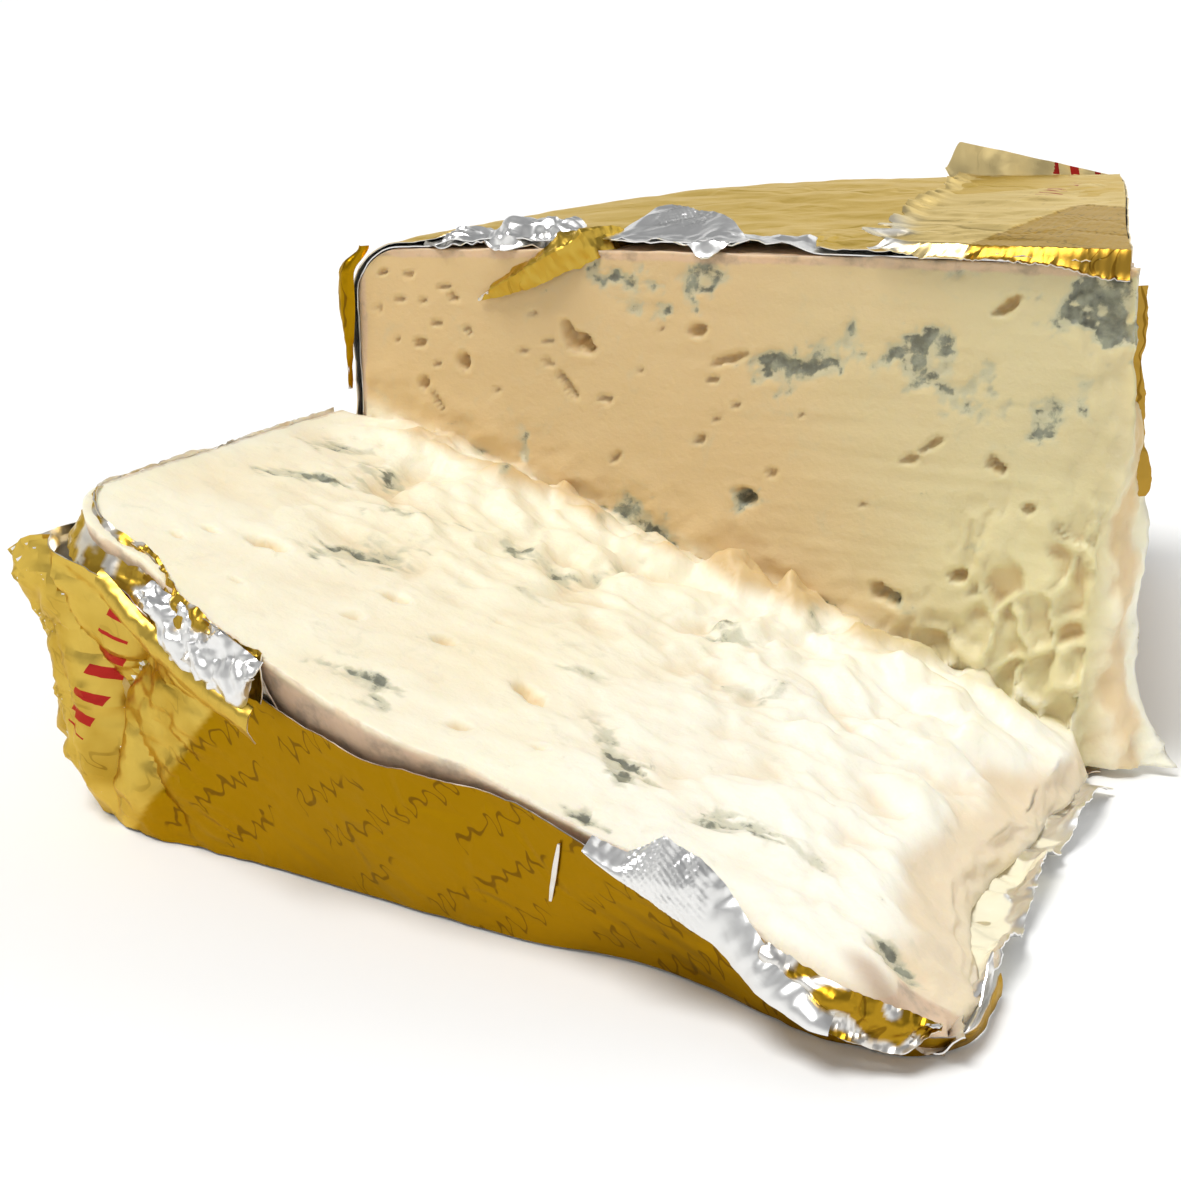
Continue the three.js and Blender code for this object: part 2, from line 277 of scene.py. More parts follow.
# Along the lying face: x, y, length, width, tilt, strength
LYING_MOULD = [
    (-143, -19, 15, 5, 55, 0.55), (-137, -37, 16, 3.5, 30, 0.75), (-131, -25, 12, 4, -15, 0.8),
    (-116, -35, 16, 4, 40, 0.8), (-115, -56, 22, 6, 62, 0.65), (-94, -30, 14, 4, -10, 0.7),
    (-89, -44, 7, 3, 10, 0.5), (-93, -91, 12, 5, 10, 0.8), (-57, -79, 17, 6, -52, 0.95),
    (-54, -97, 6, 3, 0, 0.7), (-38, -83, 18, 4, 10, 0.6), (-60, -27, 12, 4, 20, 0.4),
    (-47, -8, 12, 3, 0, 0.5), (-12, -91, 7, 5.5, 20, 1.25), (-84, -20, 20, 1.6, 78, 0.35),
    (-50, -40, 14, 3, 35, 0.3), (-104, -82, 8, 2, 20, 0.3), (-72, -60, 10, 2.5, 30, 0.25),
]
# Along the lying face: x, y, length, width, tilt, how orange the hollow is
LYING_EYES = [
    (-125, -67, 7, 4, 20, 1.0), (-133, -71, 3, 2, 0, 0.8), (-135, -77, 3, 1.4, 0, 0.5),
    (-91, -69, 4, 3, 30, 0.7), (-75, -72, 8, 4, -30, 0.9), (-77, -90, 4, 2.4, 20, 0.7),
    (-103, -64, 6, 3, 0, 0.4), (-104, -75, 4, 2, 40, 0.3), (-12, -91, 8, 6, 20, -1.0),
    (-120, -82, 2.5, 1.5, 0, 0.4), (-66, -86, 3, 2, 0, 0.3), (-88, -56, 3, 1.5, 0, 0.2),
]


# One long shallow crack of the lying face, as the ovals above
LYING_GROOVE = (-84, -20, 42, 3, 78)

# Along the lying face's torn side: x, y, length, width, tilt, height of each lump
LUMPS = [
    (-13, -21, 20, 14, 20, 5.5), (-27, -13, 18, 13, -15, 4.5), (-39, -7, 17, 12, 10, 5.0),
    (-53, -6, 16, 11, 0, 4.2), (-8, -37, 13, 12, 60, 3.8), (-67, -8, 17, 11, -12, 4.0),
    (-82, -7, 15, 10, 15, 3.2), (-31, -33, 16, 9, 25, 2.4), (-20, -49, 18, 9, -35, 2.0),
    (-96, -7, 14, 9, -20, 2.6), (-45, -24, 20, 9, 15, 2.2), (-62, -22, 16, 8, -25, 1.8),
    (-9, -8, 14, 10, 0, 3.5), (-112, -9, 16, 9, 10, 2.2), (-76, -24, 18, 8, 20, 1.6),
    (-9, -60, 12, 9, 80, 1.6),
]


def spot(a, b, place):
    """How far points are from the middle of a tilted oval, 1 at its border."""
    x, y, length, width, tilt = place[:5]
    c, s = math.cos(math.radians(tilt)), math.sin(math.radians(tilt))
    along = (a - x) * c + (b - y) * s
    aside = -(a - x) * s + (b - y) * c
    return np.hypot(along / (length / 2), aside / (width / 2))


def spots(a, b, places, wobble):
    """1 in the middle of any of the ovals, 0 outside them, with a ragged border, times its strength."""
    value = np.zeros_like(a)
    for place in places:
        inside = (1 - smooth(0.35, 1.15, spot(a, b, place) + wobble)) * place[5]
        value = np.maximum(value, inside)
    return value


def grown(places, longer, wider):
    """The same ovals, longer and wider."""
    return [(x, y, length * longer, width * wider, *rest) for x, y, length, width, *rest in places]


def standing_mould(x, z, flat):
    """Blotches with ragged borders and paler gaps."""
    wide = grown(STANDING_MOULD, 1.25, 1.25)
    blotch = spots(x, z, wide, 0.75 * fbm(flat, 6, 4, seed=5, gain=0.65))
    gaps = smooth(0.15, 0.75, 0.5 + 0.9 * fbm(flat, 4.5, 3, seed=6))
    return blotch * (0.35 + 0.75 * gaps)


def lying_mould(x, y, flat):
    """Wisps of vein that branch, with a few solid cores."""
    warp = np.stack([noise(flat, 7, seed=47), noise(flat, 7, seed=48), 0 * x], -1) * 2.5
    wide = grown(LYING_MOULD, 1.35, 2.4)
    area = spots(x, y, wide, 0.5 * fbm(flat, 9, 3, seed=39))
    strands = np.abs(fbm(flat + warp, (13, 7, 9), 3, seed=40))
    core = spots(x, y, LYING_MOULD, 0.8 * fbm(flat, 5, 4, seed=41, gain=0.65))
    return np.clip(area * smooth(0.24, 0.02, strands) * 1.1 + 0.55 * core, 0, 1.3)


# The cheese: shapes


def standing_height(r):
    """Height of the flat face above the mid-cut face at a distance from the axis."""
    out = np.clip(r / (RADIUS - RIM), 0, 1)
    return HALF_HEIGHT + DOME * (1 - out * out)


def standing_rim(count):
    """The upper rind corner in section, from half way round its rounding down to the foot."""
    rim = arc(RADIUS - RIM, HALF_HEIGHT - RIM, RIM, 45, 0, count // 8)
    wall = np.linspace(HALF_HEIGHT - RIM, 0, count - len(rim) + 1)[1:]
    return np.concatenate([rim, np.stack([np.full(len(wall), RADIUS), wall], axis=-1)])


def standing_top(count):
    """The flat face in section, from half way round the rim in to the tip."""
    rim = arc(RADIUS - RIM, HALF_HEIGHT - RIM, RIM, 45, 90, count // 14)
    r = np.linspace(RADIUS - RIM, -ridge_x(HALF_HEIGHT), count - len(rim) + 1)[1:]
    return np.concatenate([rim, np.stack([r, standing_height(r)], axis=-1)])


def ridge_x(h):
    """Where the upright face ends at the tip."""
    return -5 + 4.2 * smooth(36, 60, h) - 1.4 * smooth(66, 85, h)


def tip_curve(s, h):
    """The torn facet at the tip in plan, from the cut face (s = 0) to the hidden radial face (s = 1)."""
    far_x = 2.6 + 7.5 * np.clip(1 - h / 17, 0, 1) ** 1.8 + 0.8 * smooth(48, 20, h) - 7 * smooth(42, 80, h)
    far_y = 7.5
    near_x = ridge_x(h)
    mid_x = near_x * 0.45 + far_x * 0.55
    x = (1 - s) ** 2 * near_x + 2 * s * (1 - s) * mid_x + s * s * far_x
    y = 2 * s * (1 - s) * 1.6 + s * s * far_y
    return x, y


def settle_standing(x, y, h):
    """The standing half's height above the table, which rises towards its far side."""
    lean = 1 + STANDING_RISE / HALF_HEIGHT * np.clip(y, 0, None) / RADIUS
    return np.stack([x, y, LIFT + h * lean], axis=-1)


TIP_DEPTH = 24.0  # how far in from the tip the torn facet shapes the section


def sweep_standing(r, h, s):
    """A point of the radial section (distance r, height h) turned to the fraction s of the whole angle."""
    angle = STANDING_ANGLE * s**1.8
    tip_r = -ridge_x(h)
    x, y = tip_curve(s, h)
    share = smooth(0, TIP_DEPTH, r - tip_r)
    x = -r * math.cos(angle) * share + (x - (r - tip_r)) * (1 - share)
    y = r * math.sin(angle) * share + y * (1 - share)
    x = x - tip_inset(y, h) * s**6 * smooth(8, 20, r)
    return settle_standing(x, y, h)


def standing_half(across, up, rings):
    """The standing half as a closed mesh, its cut face a fine grid."""
    left = standing_rim(up)[::-1]
    top = standing_top(across)
    bottom_r = np.linspace(RADIUS, -ridge_x(0.0), across)
    bottom = np.stack([bottom_r, np.zeros(across)], axis=-1)
    right_h = np.linspace(0, standing_height(-ridge_x(HALF_HEIGHT)), up)
    right = np.stack([-ridge_x(right_h), right_h], axis=-1)
    section = coons(bottom, top, left, right)
    face = sweep_standing(section[..., 0].ravel(), section[..., 1].ravel(), 0.0)
    face = carve_standing(face, section)
    ids = np.arange(up * across).reshape(up, across)
    faces = grid_quads(ids)
    loop = border(ids)
    all_r, all_h = section[..., 0].ravel(), section[..., 1].ravel()
    r, h = all_r[loop], all_h[loop]
    points, before = [face], loop
    for k in range(1, rings):
        ring = sweep_standing(r, h, k / rings)
        points.append(roughen_tip(ring, r, h))
        now = len(face) + (k - 1) * len(loop) + np.arange(len(loop))
        faces += ring_quads(before, now)
        before = now
    far_ids = len(face) + (rings - 1) * len(loop) + ids
    points.append(roughen_tip(sweep_standing(all_r, all_h, 1.0), all_r, all_h))
    faces += ring_quads(before, border(far_ids)) + grid_quads(far_ids[:, ::-1])
    return make_object("standing", np.concatenate(points), faces)


def carve_standing(points, section):
    """Eyes, cracks, torn hollows and knife marks of the upright face."""
    x, z = points[:, 0], points[:, 2]
    h = section[..., 1].ravel()
    r = section[..., 0].ravel()
    flat = flat_points(x, z)
    edge = np.minimum(standing_height(r) - h, np.where(h > HALF_HEIGHT - RIM, 99, RADIUS - r))
    edge = np.minimum(edge, 6)
    depth = 0.35 * fbm(flat, (45, 45, 20), 3, seed=1) + 0.1 * fbm(flat, (9, 5, 9), 3, seed=2)
    depth += 0.14 * noise(flat, (30, 1.7, 9), seed=3) * smooth(-110, -40, x)
    for k, eye in enumerate(STANDING_EYES):
        rough = 0.3 * noise(flat, 2.2, seed=20 + k) + 0.25 * noise(flat, 1.1, seed=50)
        d = spot(x, z, eye) + rough
        hole = 1 - smooth(0.45, 1.1, d)
        depth -= hole * min(eye[2], eye[3] * 1.6) * 0.75
        depth += 0.18 * bell(d, 1.35, 0.3) * min(1, eye[3] / 2)
    mould = standing_mould(x, z, flat)
    depth -= 0.8 * mould * smooth(0.0, 0.7, ridges(flat, 3.5, 3, seed=6) * 1.6 - 0.6)
    depth += torn_webs(x, z, flat)
    fade = smooth(0.0, 1.6, edge)
    moved = points.copy()
    moved[:, 1] -= depth * fade
    ragged = 0.5 * noise(flat, (7, 30, 9), seed=9) * smooth(HALF_HEIGHT - 5, HALF_HEIGHT, h)
    moved[:, 2] += ragged * smooth(RADIUS, RADIUS - 25, r)
    return roughen_tip(moved, r, h)


def torn_webs(x, z, flat):
    """Paste pulled into webs and pits where the tip half tore, low on the right."""
    centres = web_centres(seed=4, count=110, low=(-56, 0), high=(8, 56))
    stretch = np.array([1.5, 0.6])
    warp_x = x + 3.2 * noise(flat, 10, seed=11) + 1.0 * noise(flat, 3.5, seed=17)
    warp_z = z + 5.0 * noise(flat, 12, seed=12)
    one, two = nearest_seeds(warp_x * stretch[0], warp_z * stretch[1], centres * stretch)
    wall = 1 - smooth(0.1, 2.6, two - one + 1.2 * noise(flat, 6, seed=18))
    reach = smooth(-36, -14, x + 0.35 * (45 - z)) * smooth(56, 36, z)
    low = smooth(-70, -30, x) * smooth(30, 14, z) * 0.6
    amount = np.clip(reach + low, 0, 1)
    pits = -1.9 * (1 - wall) * smooth(0.5, 3.0, two) + 0.9 * wall
    lumps = 1.2 * fbm(flat, (11, 9, 9), 3, seed=13)
    seam = smooth(18, 4, z - LIFT - TIP_THICKNESS + SLOPE * x)
    rough = seam * (1.0 * fbm(flat, (8, 6, 6), 3, seed=14) + 0.8)
    return amount * (pits * 0.8 + lumps) + rough


def web_centres(seed, count, low, high):
    """Random places of the pits between the webs."""
    rng = np.random.default_rng(seed)
    return rng.uniform(low, high, size=(count, 2))


def roughen_tip(points, r, h):
    """Torn, lumpy paste on the tip facet and squeezed out at its foot."""
    near = smooth(16, 4, r)
    push = 1.9 * fbm(points, (7, 7, 11), 4, seed=15) + 1.3 * (ridges(points, (5, 5, 12), 3, seed=16) - 0.5)
    low = smooth(14, 0, h)
    moved = points.copy()
    moved[:, 0] += near * push * (0.7 + 0.8 * low)
    moved[:, 1] -= near * push * 0.5
    return moved


def lying_top_z(x):
    """Height of the lying cut face before it is carved."""
    return LIFT + TIP_THICKNESS - SLOPE * x


def front_edge(x, height):
    """The front border of the lying half; height is 0 at its foot and 1 at the cut face."""
    along = np.clip((x + RADIUS) / RADIUS, 0, 1)
    fan = FAN * RADIUS * along
    bulge = (BULGE * np.sin(math.pi * along) + 1.5) * height
    dome = DOME * smooth(0, 1, along)
    tucked = (3.2 * bell(x, -46, 15) + 2.4 * smooth(-122, -138, x)) * (1 - height)
    drawn = 4.5 * smooth(-90, -64, x) * smooth(-24, -34, x) - 2.5 * bell(x, -15, 7)
    tucked = tucked + drawn * height
    return tucked - (HALF_HEIGHT + dome) * (1 + (fan + bulge) / HALF_HEIGHT)


def rind_edge(y, height):
    """The rind border of the lying half."""
    return RIND_X - 0.8 * np.sin(math.pi * np.clip(-y / 90, 0, 1)) + 1.0 * (1 - height) * height * 4


def tip_edge(y):
    """The torn border at the thin end."""
    y = np.asarray(y, float)
    line = flat_points(y.ravel(), 0 * y.ravel())
    wave = (1.9 * noise(line, 17, seed=45) + 0.9 * noise(line, 6, seed=46)).reshape(y.shape)
    middle = np.interp(y, [-100, -85, -75, -60, -45, -30, -15, 0], [-5, -5, -9, -12, -11, -7.5, -6, -5])
    return middle + 0.7 * wave


def lying_outline(height, across, deep):
    """Front, fold, rind and tip borders in plan; the front corner at the rind is rounded."""
    corner = 17.0
    corner_x = rind_edge(np.array(-80.0), height) + corner
    corner_y = front_edge(np.array(-138.0), height) + corner
    arc_front = arc(corner_x, corner_y, corner, 225, 270, across // 12)
    front_x = np.linspace(corner_x, tip_edge(-96.0), across - len(arc_front) + 1)[1:]
    blend = smooth(corner_x, corner_x + 12, front_x)
    front_y = front_edge(front_x, height) * blend + (corner_y - corner) * (1 - blend)
    front = np.concatenate([arc_front, np.stack([front_x, front_y], -1)])
    arc_rind = arc(corner_x, corner_y, corner, 225, 180, deep // 10)
    fold_y = 3.0
    rind_y = np.linspace(corner_y, fold_y - 5, deep - len(arc_rind) + 1)[1:]
    rind = np.concatenate([arc_rind, np.stack([rind_edge(rind_y, height), rind_y], -1)])
    fold_x = np.linspace(rind[-1, 0], tip_edge(0.0), across)
    fold = np.stack([fold_x, fold_y - 5 * smooth(-140, -151, fold_x)], -1)
    tip_y = np.linspace(front[-1, 1], fold[-1, 1], deep)
    ends = np.clip(np.minimum(tip_y - front[-1, 1], fold[-1, 1] - tip_y) / 6, 0, 1)
    tip = np.stack([tip_edge(tip_y) + 3.2 * (1 - height) ** 0.7 * ends, tip_y], -1)
    tip[0], tip[-1] = front[-1], fold[-1]
    return front, fold, rind, tip


def lying_half(across, deep, rings):
    """The lying half as a closed mesh, its cut face a fine grid."""
    plan = coons(*lying_outline(1.0, across, deep)).reshape(-1, 2)
    face = np.column_stack([plan, lying_top_z(plan[:, 0])])
    face = carve_lying(face)
    ids = np.arange(deep * across).reshape(deep, across)
    faces = grid_quads(ids)
    loop = border(ids)
    points, before = [face], loop
    for k in range(1, rings + 1):
        t = (k / rings) ** 1.3
        ring = coons_border(lying_outline(1 - t, across, deep))
        top = lying_top_z(ring[:, 0])
        z = top + (LIFT - top) * t
        points.append(slumped(np.column_stack([ring, z]), face[loop], t))
        now = len(face) + (k - 1) * len(loop) + np.arange(len(loop))
        faces += ring_quads(before, now)
        before = now
    faces.append(before[::-1].tolist())
    return make_object("lying", np.concatenate(points), faces)


def slumped(ring, rim, t):
    """Starts a ring's thin end from the carved face's border and lets it slump in lumps."""
    near = smooth(-34, -16, ring[:, 0]) * smooth(-2, -8, ring[:, 1])
    moved = ring.copy()
    drop = (rim[:, 2] - lying_top_z(rim[:, 0])) * (1 - t)
    moved[:, 2] = np.maximum(moved[:, 2] + drop * near, LIFT)
    bulge = 1.5 * fbm(ring, (8, 8, 6), 3, seed=49) * math.sin(math.pi * min(1, t * 1.05)) * near
    moved[:, 0] += bulge
    return moved


def coons_border(curves):
    """The four border curves as one loop, in border()'s order."""
    front, fold, rind, tip = curves
    return np.concatenate([front[:-1], tip[:-1], fold[:0:-1], rind[:0:-1]])


def carve_lying(points):
    """Torn paste of the lying face: smooth by the rind, lumpy towards the fold and the tip."""
    x, y = points[:, 0], points[:, 1]
    flat = flat_points(x, y)
    torn = lying_torn(x, y, flat)
    lift = 0.5 * fbm(flat, (40, 30, 20), 3, seed=31)
    lift += 0.22 * fbm(flat, (10, 7, 9), 3, seed=32)
    warped = flat + 4 * np.stack([noise(flat, 18, seed=33), noise(flat, 18, seed=34), x * 0], -1)
    waves = 3.0 * fbm(warped, (15, 12, 9), 4, seed=35)
    lift += torn * (waves + 0.6 * (ridges(warped, (12, 11, 9), 3, seed=36) - 0.6))
    lift += torn * 1.3 * smooth(-0.25, 0.45, fbm(warped, (8, 7, 7), 2, seed=52))
    for lump in LUMPS:
        reach = spot(warped[:, 0], warped[:, 1], lump) + 0.22 * noise(warped, 5, seed=38)
        lift += lump[5] * smooth(1.05, 0.25, reach) ** 0.8 * 0.8
    near_fold = smooth(-17, -3, y)
    lift += near_fold * (2.2 + 2.6 * fbm(warped, (9, 6, 9), 3, seed=37)) * smooth(-150, -132, x)
    lift += 1.6 * smooth(-150, -130, x) * smooth(-70, -110, x) * smooth(-26, -8, y)
    for k, eye in enumerate(LYING_EYES):
        rough = 0.35 * noise(flat, 2.4, seed=60 + k)
        hole = 1 - smooth(0.4, 1.1, spot(x, y, eye) + rough)
        lift -= hole * eye[3] * 0.55
    mould = lying_mould(x, y, flat)
    lift -= 0.9 * mould * smooth(0.1, 0.8, ridges(warped, 4, 3, seed=40) * 1.8 - 0.8)
    lift -= 0.7 * np.exp(-(spot(x, y, LYING_GROOVE) ** 2))
    edge = np.minimum(y - front_edge(x, 1.0), x - rind_edge(y, 1.0))
    lift *= smooth(-0.5, 4.0, edge) * 0.9 + 0.1
    thin = smooth(-2, -26, x) * 0.75 + 0.25
    rough = 1.2 * fbm(flat, (9, 9, 9), 3, seed=44)
    roll = 4.6 * smooth(11 + 3 * rough, -1, tip_edge(y) - x) ** 1.3 * smooth(-10, -30, y)
    roll += 2.2 * smooth(5, -0.5, y - front_edge(x, 1.0)) ** 1.4 * smooth(-45, -12, x)
    moved = points.copy()
    moved[:, 2] += np.maximum(lift * thin - roll, -(TIP_THICKNESS + 0.6) + 0.22 * x)
    sideways = torn * 1.1 * noise(flat, (8, 8, 8), seed=41) * smooth(0, 6, edge)
    moved[:, 0] += sideways
    return moved


def lying_torn(x, y, flat):
    """How torn the lying face is, 0 to 1."""
    toward = smooth(-70, -14, y + 8 * noise(flat, 30, seed=42)) * smooth(-146, -118, x)
    tip = smooth(-75, -20, x + 10 * noise(flat, 26, seed=43)) * smooth(-104, -80, y)
    return np.clip(0.12 + 0.75 * toward + 0.55 * tip, 0, 1)


def join(base, *others):
    """One closed mesh out of several that overlap."""
    for other in others:
        cut = base.modifiers.new("join", "BOOLEAN")
        cut.operation = "UNION"
        cut.solver = "MANIFOLD"
        cut.object = other
        bpy.context.view_layer.update()
        apply_modifiers(base)
        bpy.data.objects.remove(other)
    return base


def make_cheese():
    standing = standing_half(across=214, up=122, rings=18)
    lying = lying_half(across=214, deep=143, rings=12)
    cheese = join(standing, lying)
    cheese.name = "cheese_paste"
    cheese.data.shade_smooth()
    return cheese


# Colour of the cheese

CREAM = np.array([0.64, 0.46, 0.23])
BUTTER = np.array([0.92, 0.82, 0.56])
CURD = np.array([0.74, 0.67, 0.38])
TAN = np.array([0.70, 0.475, 0.21])
PALE = np.array([0.62, 0.54, 0.305])
WHITE = np.array([0.96, 0.92, 0.75])
SNOW = np.array([0.98, 0.96, 0.88])
OCHRE = np.array([0.72, 0.50, 0.16])
BAND = np.array([0.17, 0.105, 0.055])  # the rind's dark side at the front
TICKS = np.array([0.09, 0.06, 0.04])
STAIN = np.array([0.42, 0.28, 0.19])


def mix(a, b, share):
    """Rows of colour a turned towards b by each row's share."""
    return a + (b - a) * np.clip(share, 0, 1)[:, None]


def paint_cheese(obj):
    """Colour, mould and skin at each vertex of the cheese."""
    points = mesh_points(obj)
    x, y, z = points.T
    above = z - lying_top_z(x)
    lying = smooth(6.0, 2.5, above) * smooth(1.0, -3.0, y)
    lying = np.maximum(lying, smooth(-9, -14, y))
    face = flat_points(x, z)
    plan = flat_points(x, y)
    warm = smooth(-96, -150, x + 14 * noise(face, 45, seed=70)) * 0.75
    upright = mix(np.tile(CREAM, (len(x), 1)), TAN, warm)
    upright = mix(upright, PALE, smooth(-75, -15, x + 12 * noise(face, 30, seed=71)))
    upright = mix(upright, CURD, smooth(-44, -12, x) * smooth(62, 34, z) * 0.9)
    # painted light: the torn tip facet low on the right turned white, as if lit from the right
    upright = mix(upright, WHITE, smooth(-8, 0, x - 3 + 0.4 * y) * smooth(74, 30, z))
    flat = mix(np.tile(WHITE, (len(x), 1)), BUTTER, 0.35 + 0.6 * noise(plan, 28, seed=72))
    flat = mix(flat, WHITE, lying_torn(x, y, plan) * 0.6)
    flat = mix(flat, SNOW, smooth(-95, -35, x + 10 * noise(plan, 20, seed=73)) * 0.75)
    # painted shade: hollows below the lying face's plane tinted tan; painted highlight: raised lumps turned
    # whiter
    flat = mix(flat, TAN, smooth(0.8, -2.2, above) * 0.55)
    flat = mix(flat, WHITE, smooth(1.5, 4.5, above) * 0.5)
    # painted shade: tan in the pits and holes 2.4 to 6 mm behind the upright cut face
    upright = mix(upright, TAN, smooth(0.5, 2.4, y) * smooth(6, 4, y) * 0.7)
    # painted shade: tan low on the upright face's left part, near the seam with the lying face
    upright = mix(upright, TAN, smooth(16, 2, above) * smooth(-20, -50, x) * 0.45)
    colour = mix(upright, flat, lying)
    mould_up = standing_mould(x, z, face)
    mould_flat = lying_mould(x, y, plan)
    mould = mould_up * (1 - lying) * smooth(14, 2, y) + mould_flat * lying
    ochre = np.zeros_like(x)
    for eye in LYING_EYES:
        ochre = np.maximum(ochre, (1 - smooth(0.3, 1.0, spot(x, y, eye))) * max(eye[5], 0))
    colour = mix(colour, OCHRE, ochre * lying * 0.6)
    colour, skin = paint_rind(points, colour, lying, above)
    set_colour(obj, "paste", colour)
    set_attribute(obj, "mould", np.clip(mould, 0, 1.3))
    set_attribute(obj, "skin", np.clip(skin, 0, 1))


def paint_rind(points, colour, lying, above):
    """The rind's colour on the paste's colour, and how much skin there is."""
    x, y, z = points.T
    plan = flat_points(x, y)
    r = np.hypot(x, y)
    skin = smooth(3.0, 0.3, RADIUS - r) * (1 - lying)
    skin = skin + smooth(3.0, 0.4, LIFT + standing_height(r) - z) * (1 - lying)
    edge = np.minimum(y - front_edge(x, 1.0), x - rind_edge(y, 1.0))
    side = smooth(-0.6, -2.0, above) * smooth(10.0, 7.0, edge)
    skin = skin + np.maximum(0.62 * smooth(1.6, 0.2, edge), 0.9 * side) * smooth(1.0, -3.0, y)
    front = smooth(9.0, 6.5, y - front_edge(x, 1.0)) * smooth(-110, -102, x) * smooth(-58, -68, x)
    beat = np.sin(x * 2.3 + 2.0 * noise(plan, 8, seed=74)) + 0.8 * noise(points, (1.5, 9, 4), seed=75)
    ticks = front * smooth(0.45, 0.9, beat) * smooth(-13.0, -9.0, above) * smooth(-1.5, -4.0, above)
    colour = mix(colour, BAND, front * smooth(-0.6, -2.2, above) * 0.85)
    colour = mix(colour, TICKS, ticks * 0.9)
    stain = (1 - smooth(0.2, 1.2, spot(x, y, (-13, -99, 11, 6, -20)))) * smooth(1.0, -3.0, y)
    return mix(colour, STAIN, stain * 0.75), skin


# Materials


class Nodes:
    """Short calls for building a node tree."""

    def __init__(self, name):
        self.material = bpy.data.materials.new(name)
        self.material.use_nodes = True
        self.tree = self.material.node_tree
        self.shader = self.tree.nodes["Principled BSDF"]

    def add(self, kind, **values):
        node = self.tree.nodes.new(kind)
        for key, value in values.items():
            if hasattr(node, key):
                setattr(node, key, value)
            else:
                node.inputs[key].default_value = value
        return node

    def link(self, source, target):
        self.tree.links.new(source, target)

    def attribute(self, name):
        return self.add("ShaderNodeAttribute", attribute_name=name)

    def noise(self, scale, detail=4.0, roughness=0.55, distortion=0.0):
        sizes = {"Scale": scale, "Detail": detail, "Roughness": roughness, "Distortion": distortion}
        node = self.add("ShaderNodeTexNoise", **sizes)
        self.link(self.place, node.inputs["Vector"])
        return node.outputs["Fac"]

    @property
    def place(self):
        if not hasattr(self, "_place"):
            self._place = self.add("ShaderNodeTexCoord").outputs["Object"]
        return self._place

    def maths(self, operation, a, b=0.0, c=0.0, clamp=False):
        node = self.add("ShaderNodeMath", operation=operation, use_clamp=clamp)
        for socket, value in zip(node.inputs, (a, b, c)):
            if hasattr(value, "is_linked"):
                self.link(value, socket)
            else:
                socket.default_value = value
        return node.outputs[0]

    def step(self, value, low, high):
        ends = {"From Min": low, "From Max": high}
        node = self.add("ShaderNodeMapRange", interpolation_type="SMOOTHSTEP", **ends)
        self.link(value, node.inputs["Value"])
        return node.outputs["Result"]

    def blend(self, share, a, b):
        node = self.add("ShaderNodeMix", data_type="RGBA")
        for socket, value in ((node.inputs[0], share), (node.inputs[6], a), (node.inputs[7], b)):
            if hasattr(value, "is_linked"):
                self.link(value, socket)
            elif isinstance(value, (int, float)):
                socket.default_value = value
            else:
                socket.default_value = (*value, 1.0)
        return node.outputs[2]

    def plus(self, a, b):
        return self.maths("ADD", a, b)

    def minus(self, a, b):
        return self.maths("SUBTRACT", a, b)

    def times(self, a, b):
        return self.maths("MULTIPLY", a, b)

    def bump(self, height, distance, strength):
        node = self.add("ShaderNodeBump", Strength=strength, Distance=distance)
        self.link(height, node.inputs["Height"])
        return node.outputs["Normal"]

    def finish(self, **values):
        for key, value in values.items():
            socket = self.shader.inputs[key]
            if hasattr(value, "is_linked"):
                self.link(value, socket)
            else:
                socket.default_value = value
        return self.material


def cheese_material():
    """Soft paste with grain, spores in the mould and a darker skin."""
    n = Nodes("cheese_paste")
    paste = n.attribute("paste").outputs["Color"]
    mould = n.attribute("mould").outputs["Fac"]
    skin = n.attribute("skin").outputs["Fac"]
    mottled = n.blend(n.times(n.noise(90, 5), 0.25), paste, (0.74, 0.58, 0.33))
    fine = n.noise(420, 6, 0.65, 0.4)
    coarse = n.noise(160, 5, 0.6, 0.8)
    grain = n.plus(n.times(fine, 0.9), n.times(coarse, 0.9))
    dark = n.step(n.plus(mould, n.times(n.minus(grain, 0.9), 2.0)), 0.5, 0.95)
    halo = n.step(n.plus(mould, n.minus(coarse, 0.5)), 0.04, 0.5)
    tinted = n.blend(n.times(halo, 0.6), mottled, (0.47, 0.47, 0.33))
    spores = n.blend(n.step(n.noise(330, 4), 0.35, 0.65), (0.085, 0.09, 0.07), (0.26, 0.27, 0.20))
    veined = n.blend(n.times(dark, 0.85), tinted, spores)
    skin_line = n.step(n.plus(skin, n.minus(coarse, 0.5)), 0.35, 0.75)
    rind = n.blend(n.step(n.noise(240, 4), 0.42, 0.7), (0.66, 0.45, 0.30), (0.33, 0.24, 0.17))
    colour = n.blend(n.times(skin_line, 0.75), veined, rind)
    rough = n.plus(0.34, n.times(n.noise(140, 3), 0.25))
    height = n.plus(n.noise(900, 3), n.times(n.noise(260, 4), 1.4))
    return n.finish(
        **{
            "Base Color": colour,
            "Roughness": rough,
            "Normal": n.bump(height, 0.00025, 0.5),
            "Subsurface Weight": 0.35,
            "Subsurface Radius": (0.006, 0.0045, 0.0022),
            "Subsurface Scale": 0.6,
            "IOR": 1.42,
        }
    )


# Foil

FOIL_THICKNESS = 0.22
BASE_Z = 0.5
TABLE_GAP = 0.06
CREASE_ANGLE = math.radians(24)
# What each vertex of a foil piece says, and how many numbers it takes
FOIL_VALUES = {"label": 3, "sheet": 3, "silver": 1, "smear": 1, "tone": 1}


def grid_normals(grid):
    """Unit normals of a grid, by its rows and columns."""
    du = np.gradient(grid, axis=1)
    dv = np.gradient(grid, axis=0)
    normal = np.cross(du, dv)
    return normal / np.maximum(np.linalg.norm(normal, axis=2, keepdims=True), 1e-9)


